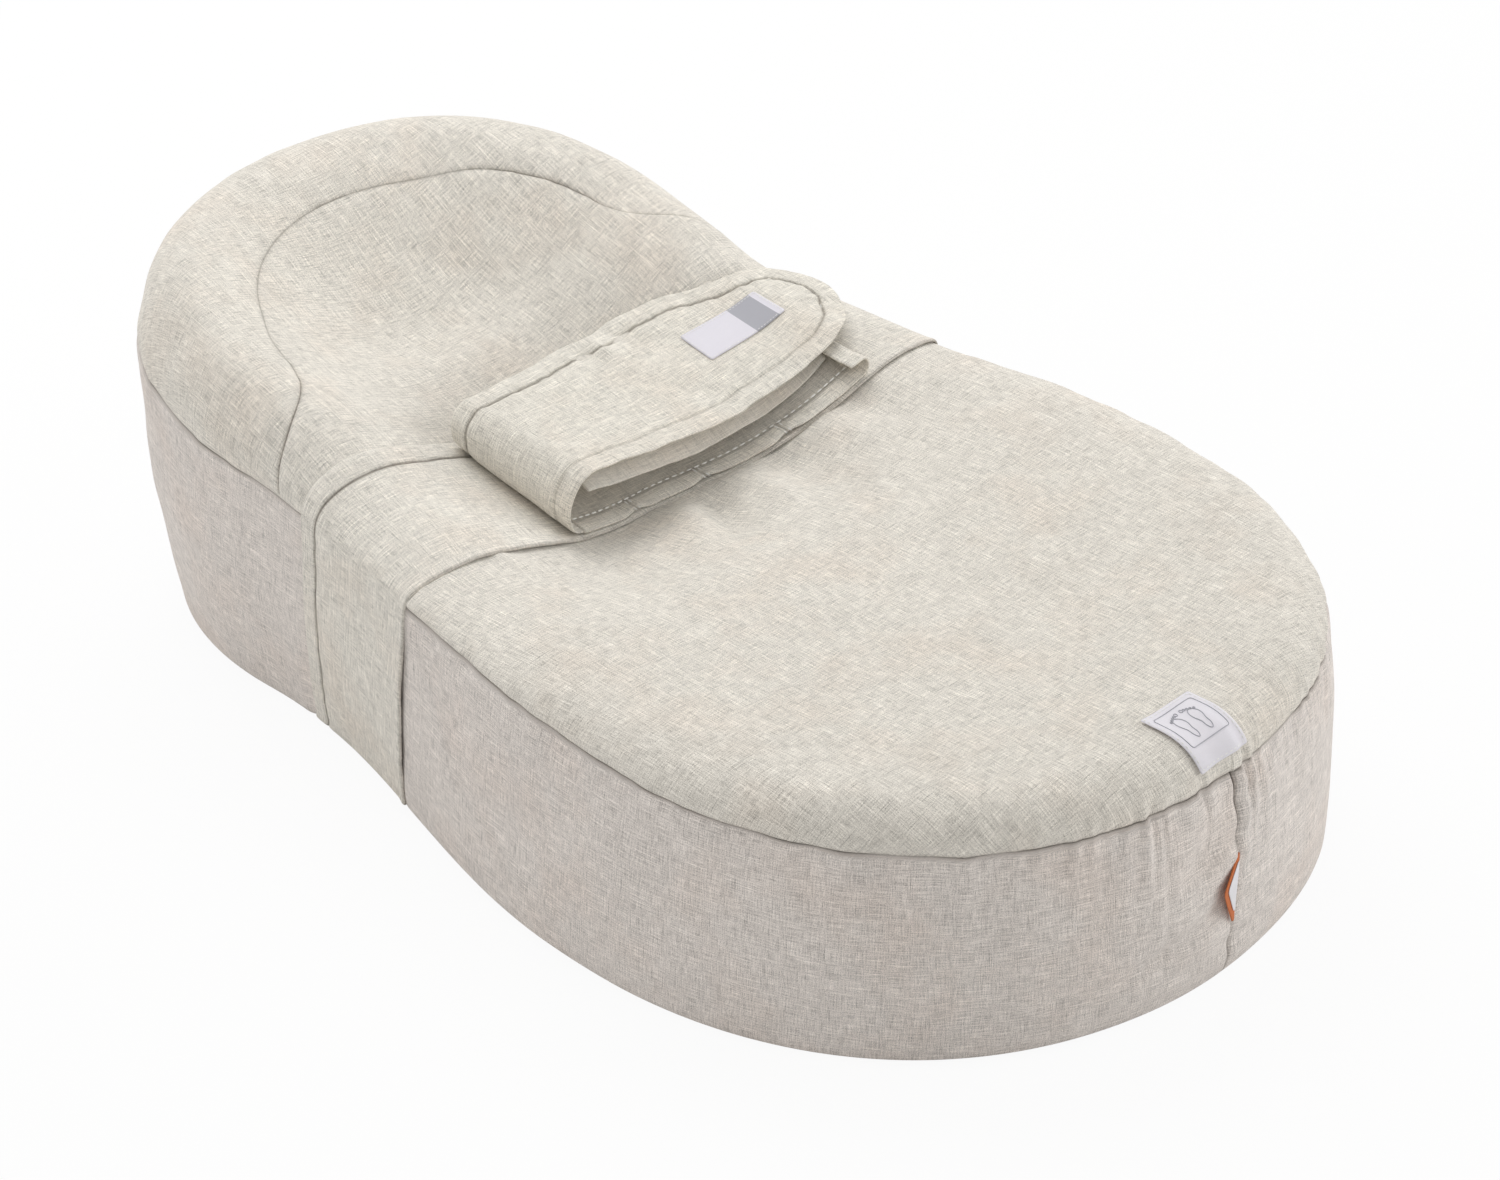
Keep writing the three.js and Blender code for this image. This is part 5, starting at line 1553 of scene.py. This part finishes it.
def sew(name, lines, step, length, thickness, body, seed):
    """One mesh of stitches along some lines of points in millimetres"""
    mesh = bpy.data.meshes.new(name)
    starts = np.cumsum([0] + [len(line) for line in lines])
    edges = [(start + k, start + k + 1) for start, line in zip(starts, lines) for k in range(len(line) - 1)]
    mesh.from_pydata(in_frame(np.concatenate(lines)).tolist(), edges, [])
    piece = add_object(name, mesh)
    rows = piece.modifiers.new("rows", "NODES")
    rows.node_group = stitch_row
    settings = {"Step": step, "Length": length, "Thickness": thickness, "Seed": seed, "Thread": white_thread}
    for socket in stitch_row.interface.items_tree:
        if socket.name in settings:
            rows[socket.identifier] = settings[socket.name]
    settle(piece)
    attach(piece, body)
    print(name, len(piece.data.polygons), "faces")


def frame_line(low, high, inset):
    (low_a, low_b), (high_a, high_b) = (np.array(low) + inset, np.array(high) - inset)
    corners = np.array([(low_a, low_b), (high_a, low_b), (high_a, high_b), (low_a, high_b), (low_a, low_b)])
    return evenly(corners, 1.0)


base_rise = base_top + 0.5
seam_y = np.arange(base_near_y + 3, base_far_y - 2, 2.0)
base_lines = []
for x_line, y_line in [(np.full(len(seam_y), base_head_x + 74.6), seam_y)] + [
    (np.linspace(base_head_x + 77, base_head_x + 84, 8), np.full(8, seam + side * 1.4))
    for seam in cross_seams for side in (-1, 1)
]:
    line_rows = row_at(x_line, y_line)
    base_lines.append(lifted(x_line + band_shift(line_rows), line_rows, np.full(len(x_line), base_rise)))
sew("belt_base_stitches", base_lines, 0.0050, 0.0036, 0.0010, "nest", 3)
label_border = frame_line((label_u[0], label_v[0]), (label_u[-1], label_v[-1]), 1.1)
sew("belt_label_stitches", [on_the_leaf(label_border, 0.85)], 0.0024, 0.0016, 0.0004, "belt", 5)
foot_border = frame_line((foot_x[0], foot_y[0]), (foot_x[-1], foot_y[-1]), 1.5)
sew("foot_label_stitches", [on_the_sheet(foot_border, 1.0)], 0.003, 0.002, 0.00045, "nest", 7)

# %% [markdown]
# ## The tag in the foot seam
#
# A short orange ribbon is folded in two and caught in the upright seam at the foot. Both of
# its plies are in one grid, which runs out from the seam, round the fold and back. On its
# front lies a pale panel.

# %% Tag
tag_ribbon = linen_finish("tag_ribbon_weave", (0.62, 0.175, 0.055), streaks=0.12, patches=0.05, pitch=0.0004)
panel_satin = label_finish("tag_panel_satin", (0.80, 0.79, 0.82))
tag_turn = 1.33
tag_along = np.array([math.cos(tag_turn), -math.sin(tag_turn), 0])
tag_ahead = np.array([math.sin(tag_turn), math.cos(tag_turn), 0])
tag_length, tag_point = 38.0, 24.0


def tag_reach(rise):
    return np.where(
        rise < tag_point, mix(1.6, 16.5, rise / tag_point),
        mix(16.5, 1.6, (rise - tag_point) / (tag_length - tag_point)),
    )


def tag_root(rise):
    """Where the tag leaves the wall, for a height over its lower end"""
    z = 37.5 + rise
    down = np.clip((seam_height(350.0) - z) / (seam_height(350.0) - base_round), 0, 1)
    place = wall_places(np.full_like(z, foot_centre), 0.0, 1.0, down)
    return place + np.stack([0 * z + 2.7, -seam_drift(z), 0 * z], axis=-1)


def tag_grid(rise, reach, bow_share, sides):
    """Points of the tag's cloth, by their height, their reach from the seam and their side"""
    bow = 0.5 * np.sin(rise / tag_length * math.pi)[:, None] * bow_share
    return tag_root(rise)[:, None, :] + reach[..., None] * tag_along + (sides + bow)[..., None] * tag_ahead


tag_rise = np.linspace(0, tag_length, 19)
tag_shares = np.array([0, 0.25, 0.5, 0.75, 0.93, 1.0, 1.0, 0.93, 0.75, 0.5, 0.25, 0])
tag_sides = np.array([0.5, 0.5, 0.5, 0.5, 0.45, 0.2, -0.2, -0.45, -0.5, -0.5, -0.5, -0.5])
tag_places = tag_grid(tag_rise, tag_reach(tag_rise)[:, None] * tag_shares, tag_shares, tag_sides)
side_tag = grid_piece("ribbon_tag", tag_places, pairs(tag_rise, 13 * np.linspace(0, 2, 12)), tag_ribbon)
face_out(side_tag, tag_places.reshape(-1, 3), 5, tag_along)
smooth_cloth(side_tag, label_thickness)
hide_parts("side_tag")
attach(side_tag, "nest")
panel_rise = np.linspace(7, 34, 14)
panel_most = np.maximum(tag_reach(panel_rise) - 3.6, 1.8)
reach = mix(0.6, panel_most[:, None], np.linspace(0, 1, 5))
panel_places = tag_grid(panel_rise, reach, reach / tag_reach(panel_rise)[:, None], 0.95)
panel_flat = np.stack(np.broadcast_arrays(panel_rise[:, None], reach), axis=-1).reshape(-1, 2)
tag_panel = grid_piece("tag_panel", panel_places, panel_flat, panel_satin)
face_out(tag_panel, panel_places.reshape(-1, 3), 7, tag_ahead)
smooth_cloth(tag_panel, 0.25)
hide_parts("side_tag_panel")
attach(tag_panel, "nest")

# %% [markdown]
# ## Hem under the base
#
# Like a fitted bed sheet, the sides turn in under the base. The edge is folded back on
# itself as a casing, and the elastic in it gathers the cloth. The gathers grow towards the
# elastic, so they are waves round the ring whose height rises along each line of points.

# %% Hem
# Along each line, how far inside the edge, how high, and how much it gathers
hem_inset, hem_z, gather = np.array([
    (0, 0, 0), (2, 0, 0), (5, .05, .1), (9, .1, .2), (13, .1, .3), (16, .15, .35), (17.4, .45, .3),
    (18, .8, .2), (18.6, .45, .3), (20.5, .1, .45), (24, .05, .5), (28, .05, .5), (32, .1, .45),
    (34.6, .6, .3), (35.5, 1.7, .3), (35.7, 2.9, .4), (35.2, 4.0, .7), (33, 4.7, .9), (29, 4.9, 1),
    (24, 4.9, .9), (20, 4.6, .6), (18, 4.2, .2),
]).T


def ring_part(columns):
    """Centre, side, direction and reach of the plan at some of the ring's stations"""
    turn, centre, side = ring_turns[columns], ring_centres[columns], ring_sides[columns]
    ux, uy = heading(turn, side)
    return turn, centre, side, ux, uy, station_reach(centre, turn)


hem_columns = np.append(np.arange(ring_count), 0)
_, hem_centre, hem_side, hem_ux, hem_uy, hem_reach = ring_part(hem_columns)
hem_out_x = hem_centre + hem_ux * hem_reach
hem_arcs = np.append(ring_arcs, 2 * half_seam)
wave = ripple(hem_arcs / 8, 0, 2.9)
wave[-1] = wave[0]
wave = np.clip(wave, -0.9, 0.9) * 0.5 + 0.45
out = (hem_reach - wall_lean(hem_out_x) - base_round)[:, None] - hem_inset[None, :]
out = out + 0.8 * (wave - 0.45)[:, None] * gather[None, :]
height = hem_z[None, :] + gather[None, :] * wave[:, None] + base_lift(hem_out_x, hem_side)[:, None]
hem_places = np.stack([hem_centre[:, None] + hem_ux[:, None] * out, hem_uy[:, None] * out, height], axis=-1)
hem_flat = np.cumsum(np.abs(np.diff(hem_inset, prepend=0)) + 0.8 * np.abs(np.diff(hem_z, prepend=0)))
gathered_hem = grid_piece("gathered_hem", hem_places, pairs(hem_arcs, hem_flat), linen_hem)
smooth_cloth(gathered_hem, 0.8)
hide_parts("sheet_hem")
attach(gathered_hem, "nest")
print("hem", [round(c * 1000) for c in cut_size(gathered_hem, 2 * half_seam)], "mm as cut")
casing = int(np.argmin(np.abs(hem_inset - 18.6)))
sew("hem_stitches", [hem_places[:, casing] - (0, 0, 0.1)], 0.004, 0.0029, 0.00055, "nest", 9)

# %% [markdown]
# ## Foam core and inner cover
#
# Nobody sees the core in use, but a parent who washes the sheet does. It is one foam block
# in a white waterproof cover, with a pocket under the knees. Both are shells of the same
# shape as the sheet, a few millimetres inside it, on a coarser grid of rings and columns,
# and the pocket is cut out of both with one rounded block.

# %% Shells inside the sheet
core_columns = np.arange(0, ring_count, 3)
core_turn, core_centre, core_side, core_ux, core_uy, core_reach = ring_part(core_columns)
core_inner, _, _, _, core_arc = shoulder_of(core_centre, core_ux, core_reach)
base_dish, base_ramp = 6.0, 14.0


def shell(with_base):
    rows = []
    for share in np.linspace(0, 1, 22):
        out = share * (core_inner + core_arc)
        rows.append(top_places(core_centre + core_ux * out, core_uy * out))
    for down in np.concatenate([np.linspace(0, 1, 12)[1:], np.linspace(1, 2, 5)[1:]]):
        rows.append(wall_places(core_centre, core_turn, core_side, np.full(len(core_turn), down)))
    if with_base:
        last = rows[-1]
        reach_in = core_reach - wall_lean(core_centre + core_ux * core_reach) - base_round
        for inset, dish in ((5.0, 1.6), (base_ramp, base_dish)):
            out = reach_in - inset
            z = last[:, 2] + dish
            rows.append(np.stack([core_centre + core_ux * out, core_uy * out, z], axis=-1))
        for share in (0.6, 0.3, 0.0):
            out = (reach_in - base_ramp) * share
            row = [core_centre + core_ux * out, core_uy * out, last[:, 2] + base_dish]
            rows.append(np.stack(row, axis=-1))
    grid = np.stack(rows, axis=0)
    keys = np.round(grid.reshape(-1, 3), 2)
    _, first, which = np.unique(keys, axis=0, return_index=True, return_inverse=True)
    which = which.ravel().reshape(grid.shape[:2])
    places = grid.reshape(-1, 3)[first]
    after = np.roll(which, -1, axis=1)
    faces = []
    for a, b, c, d in zip(which[:-1].ravel(), after[:-1].ravel(), after[1:].ravel(), which[1:].ravel()):
        face = [int(v) for v, before in zip((a, b, c, d), (d, a, b, c)) if v != before]
        if len(set(face)) == len(face) >= 3:
            faces.append(face)
    return places, faces


def pocket_block():
    outline = rounded_rectangle(22, 162, -115, 115, 8, 6)
    count = len(outline)
    places = np.concatenate([np.column_stack([outline, np.full(count, z)]) for z in (90.0, 300.0)])
    sides = [[k, (k + 1) % count, count + (k + 1) % count, count + k] for k in range(count)]
    caps = [list(range(count))[::-1], list(range(count, 2 * count))]
    return make_piece("pocket_block", places, sides + caps, places[:, :2], cover_cloth)


def cut_pocket(piece):
    block = pocket_block()
    cutter = piece.modifiers.new("pocket", "BOOLEAN")
    cutter.operation = "DIFFERENCE"
    cutter.solver = "EXACT"
    cutter.object = block
    settle(piece)
    bpy.data.objects.remove(block)


def valley(places):
    """The coarse rings cut the corner of the hollow at the knees, so they lie lower there"""
    return 1.6 * bell(places[:, 0] - 24, 26) * (np.abs(places[:, 1]) < 150) * (places[:, 2] > 90)


def inner_shell(with_base, inside):
    """The shell with its faces outwards, and moved inwards from the sheet"""
    places, faces = shell(with_base)
    normals = normals_of(places, faces)
    if normals[np.argmax(places[:, 2])][2] < 0:
        faces = [f[::-1] for f in faces]
        normals = -normals
    return places - normals * (inside + valley(places))[:, None], faces


print("core columns", len(core_columns))

# %% Inner cover and foam
cover_places, shell_faces = inner_shell(False, 2.1)
cover_places[:, 2] = np.maximum(cover_places[:, 2], 0.6)
cover_flat = cover_places[:, :2] + cover_places[:, 2:] * (0.3, 1.0)
inner_cover = make_piece("white_inner_cover", cover_places, shell_faces, cover_flat, cover_cloth)
thicken(inner_cover, 1.4)
cut_pocket(inner_cover)
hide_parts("inner_cover")
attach(inner_cover, "nest")


def foam_finish():
    material, tree, shader = new_finish("cut_foam")
    place = tree.nodes.new("ShaderNodeTexCoord").outputs["Object"]
    pores = tree.nodes.new("ShaderNodeTexVoronoi")
    pores.inputs["Scale"].default_value = 700.0
    tree.links.new(place, pores.inputs["Vector"])
    tone = range_node(tree, cloud_node(tree, place, 30.0, 3.0, "3D"), 0.35, 0.65)
    colour = blend_node(tree, tone, (0.80, 0.74, 0.55, 1.0), (0.86, 0.80, 0.63, 1.0))
    tree.links.new(colour, shader.inputs["Base Color"])
    add_bump(tree, shader, pores.outputs["Distance"], 0.0006)
    shader.inputs["Roughness"].default_value = 0.95
    return material


core_places, core_faces = inner_shell(True, 4.4)
foam_core = make_piece("foam_block", core_places, core_faces, core_places[:, :2], foam_finish())
cut_pocket(foam_core)
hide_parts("foam_core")
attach(foam_core, "nest")
print("cover", len(inner_cover.data.polygons), "faces, foam", len(foam_core.data.polygons), "faces")

# %% [markdown]
# ## Base of the inner cover
#
# The base is a separate cloth with a slot for the zip. It is laid out in the plan, with the
# slot left out of the pattern, and dished up a little so that the zip clears the floor.

# %% Base of the cover
base_reach = core_reach - wall_lean(core_centre + core_ux * core_reach) - base_round


def base_ring(inset):
    out = base_reach - inset
    return np.stack([core_centre + core_ux * out, core_uy * out], axis=-1)


slot_x = np.linspace(-10, 290, 51)
slot_side = np.column_stack([slot_x, np.full(len(slot_x), -4.0)])
zip_slot = np.concatenate([slot_side, slot_side[::-1] * (1, -1)])
lattice = np.array([(x, y) for x in np.arange(-345, 350, 12.0) for y in np.arange(-206, 210, 12.0)])
lattice = lattice[inside_of(lattice, base_ring(18.0)) & ~inside_of(lattice, zip_slot * (1, 1.8))]
base_rings = [base_ring(inset) for inset in (0.5, 5.0, 9.5, 14.0)]
base_flat, base_faces, _ = draw_pattern([*base_rings, zip_slot], [], lattice, base_ring(0.4))
over_slot = inside_of(middles_of(base_flat, base_faces), zip_slot)
base_faces = [f[::-1] for f, over in zip(base_faces, over_slot) if not over]
base_edge = evenly(np.concatenate([base_ring(0), base_ring(0)[:1]]), 2.0)
inset_at = np.clip(nearest_on(base_flat, base_edge)[0] / 14, 0, 1)
base_z = 1.6 + base_dish * inset_at + base_lift(base_flat[:, 0], np.clip(base_flat[:, 1] / 100, -1, 1))
base_points = np.column_stack([base_flat, base_z])
cover_base = make_piece("cover_base", base_points, base_faces, base_flat, cover_cloth)
thicken(cover_base, 1.2)
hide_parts("inner_cover_base")
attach(cover_base, "nest")
print("cover base", len(cover_base.data.polygons), "faces")

# %% [markdown]
# ## Pocket and leg cushion
#
# The pocket under the knees is a tray of the cover's cloth, and its edges end just under the
# sheet. The leg cushion in it is a small filled pad. A pad like that is best found by
# simulation: a closed skin is remeshed evenly and blown up a little as cloth, with a limit
# on how far each point may go, so that it stays clear of the pocket.

# %% Pocket lining
tray_line = rounded_rectangle(22.4, 161.6, -114.6, 114.6, 7.6, 8)
tray_line = evenly(np.concatenate([tray_line, tray_line[:1]]), 5.0)[:-1]
tray_middle = tray_line.mean(axis=0)
tray_top = top_places(*flat_places(*tray_line.T).T)[:, 2] - 4.2
# Each row's share of the way out from the middle, and of the way up the wall
tray_rows = [(out, 0) for out in (0.0, 0.4, 0.75, 0.92, 0.985)]
tray_rows += [(1.0, up) for up in (0.03, 0.1, 0.4, 0.7, 1.0)]
tray_places = np.stack([
    np.column_stack([tray_middle + (tray_line - tray_middle) * out, mix(90.4, tray_top, up)])
    for out, up in tray_rows
])
tray_places = np.concatenate([tray_places, tray_places[:, :1]], axis=1)
tray_points = tray_places.reshape(-1, 3)
tray_flat = tray_points[:, :2] + tray_points[:, 2:] * 0.7
pocket_lining = grid_piece("leg_pocket", tray_places, tray_flat, cover_cloth)
face_out(pocket_lining, tray_points, 2 * tray_places.shape[1], np.array([0, 0, -1]))
thicken(pocket_lining, 1.5)
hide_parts("leg_pocket_lining")
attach(pocket_lining, "nest")
print("pocket", len(pocket_lining.data.polygons), "faces")

# %% Leg cushion
cushion_low, cushion_high = (np.array(c) * 1000 - (frame_shift, 0, 0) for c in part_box("leg_cushion"))
cushion_middle = (cushion_low + cushion_high) / 2
cushion_half = (cushion_high - cushion_low) / 2
share = np.sin(np.linspace(-math.pi / 2, math.pi / 2, 25))
grid_a, grid_b = np.meshgrid(share, share, indexing="ij")
crown = np.sqrt(np.maximum((1 - np.abs(grid_a) ** 5) * (1 - np.abs(grid_b) ** 5), 0))
drawn_x = 1 - 0.03 * (grid_a * grid_b) ** 2 - 0.03 * (1 - grid_b**2)
drawn_y = 1 - 0.03 * (grid_a * grid_b) ** 2 - 0.03 * (1 - grid_a**2)
pad_x = cushion_middle[0] + grid_a * drawn_x * (cushion_half[0] - 1.6)
pad_y = cushion_middle[1] + grid_b * drawn_y * (cushion_half[1] - 1.6)
pad_height = mix(12, 27, (grid_a + 1) / 2) * mix(0.35, 1, crown) - 3.5
pad_top = np.stack([pad_x, pad_y, cushion_low[2] + 1.2 + pad_height * 0.86], axis=-1).reshape(-1, 3)
pad_bottom = np.stack([pad_x, pad_y, np.full_like(pad_x, cushion_low[2] + 1.2)], axis=-1).reshape(-1, 3)
pad_faces = grid_faces(25, 25).tolist()
count = 25 * 25
ring = [25 * k for k in range(25)] + [600 + k for k in range(1, 25)]
ring += [24 + 25 * k for k in range(23, -1, -1)] + [k for k in range(23, 0, -1)]
pad_sides = [[a, b, count + b, count + a] for a, b in zip(ring, ring[1:] + ring[:1])]
pad_all = np.concatenate([pad_top, pad_bottom])
pad_all_faces = pad_faces + [[count + v for v in f[::-1]] for f in pad_faces] + pad_sides
leg_pad = make_piece("leg_pad", pad_all, pad_all_faces, pad_all[:, :2], cover_cloth)
mesh = bmesh.new()
mesh.from_mesh(leg_pad.data)
bmesh.ops.recalc_face_normals(mesh, faces=mesh.faces[:])
mesh.to_mesh(leg_pad.data)
mesh.free()
even = leg_pad.modifiers.new("even", "REMESH")
even.mode = "VOXEL"
even.voxel_size = 4.5 * mm
settle(leg_pad)
before = np.array([v.co for v in leg_pad.data.vertices])
cap = 1.0 * mm
cloth = leg_pad.modifiers.new("filling", "CLOTH")
cloth.settings.quality = 5
cloth.settings.use_pressure = True
cloth.settings.uniform_pressure_force = 4.0
cloth.settings.effector_weights.gravity = 0.0
for number in range(1, 21):
    bpy.context.scene.frame_set(number)
settle(leg_pad)
bpy.context.scene.frame_set(1)
after = np.array([v.co for v in leg_pad.data.vertices])
moved = after - before
far = np.linalg.norm(moved, axis=1, keepdims=True)
after = before + moved * np.minimum(1, cap / np.maximum(far, 1e-9))
leg_pad.data.vertices.foreach_set("co", after.astype(np.float32).ravel())
add_rounder(leg_pad)
settle(leg_pad)
spots = np.array([v.co for v in leg_pad.data.vertices])
finish_faces(leg_pad.data, spots[:, :2] + spots[:, 2:] * 0.5, cover_cloth)
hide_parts("leg_cushion")
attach(leg_pad, "leg_cushion")
print("leg cushion moved by up to", round(float(far.max() * 1000), 1), "mm before the cap")

# %% [markdown]
# ## Finishes for the small parts
#
# The tapes, fastener strips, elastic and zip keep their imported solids, since their shapes are
# plain. They still need surfaces: tiny hooks and loops on the strips, ribs on the elastic,
# a woven tape, and moulded plastic with a faint grain.

# %% Small parts
def small_finish(name, colour, roughness, pattern_scale, relief, ribs=None):
    material, tree, shader = new_finish(name)
    place = tree.nodes.new("ShaderNodeTexCoord").outputs["Object"]
    fine = cloud_node(tree, place, pattern_scale, 2.0, "3D")
    raised = fine
    if ribs:
        wave = tree.nodes.new("ShaderNodeTexWave")
        wave.bands_direction = ribs[0]
        wave.inputs["Scale"].default_value = ribs[1]
        tree.links.new(place, wave.inputs["Vector"])
        raised = math_node(tree, "ADD", wave.outputs["Fac"], fine)
    shade_colour(tree, shader, colour, range_node(tree, raised, 0.2, 1.0, 0.88, 1.05))
    add_bump(tree, shader, raised, relief)
    rough = range_node(tree, fine, 0.3, 0.7, roughness - 0.06, roughness + 0.06)
    tree.links.new(rough, shader.inputs["Roughness"])
    return material


hooks = small_finish("hook_tape", (0.62, 0.60, 0.56), 0.75, 1400.0, 0.0006)
piled_loops = small_finish("loop_tape", (0.66, 0.64, 0.60), 0.90, 900.0, 0.0009)
tape_weave = small_finish("zip_tape_weave", (0.52, 0.51, 0.49), 0.85, 1600.0, 0.0003, ("DIAGONAL", 420.0))
elastic_ribs = small_finish("elastic_ribs", (0.70, 0.69, 0.66), 0.80, 800.0, 0.0004, ("X", 300.0))
moulded = small_finish("moulded_plastic", (0.80, 0.80, 0.79), 0.38, 260.0, 0.00008)
finish_of = {
    "belt_hook_patch": hooks, "leg_hook_strip_near": hooks, "leg_hook_strip_far": hooks,
    "band_loop_patch": piled_loops, "leg_loop_strip_near": piled_loops, "leg_loop_strip_far": piled_loops,
    "zip_tape_near": tape_weave, "zip_tape_far": tape_weave, "hem_elastic": elastic_ribs,
    "zip_teeth": moulded, "zip_stop_head": moulded, "zip_stop_foot": moulded, "zip_slider": moulded,
}
for node, finish in finish_of.items():
    for slot in bpy.data.objects[node].material_slots:
        slot.material = finish
print("finishes on", len(finish_of), "small parts")
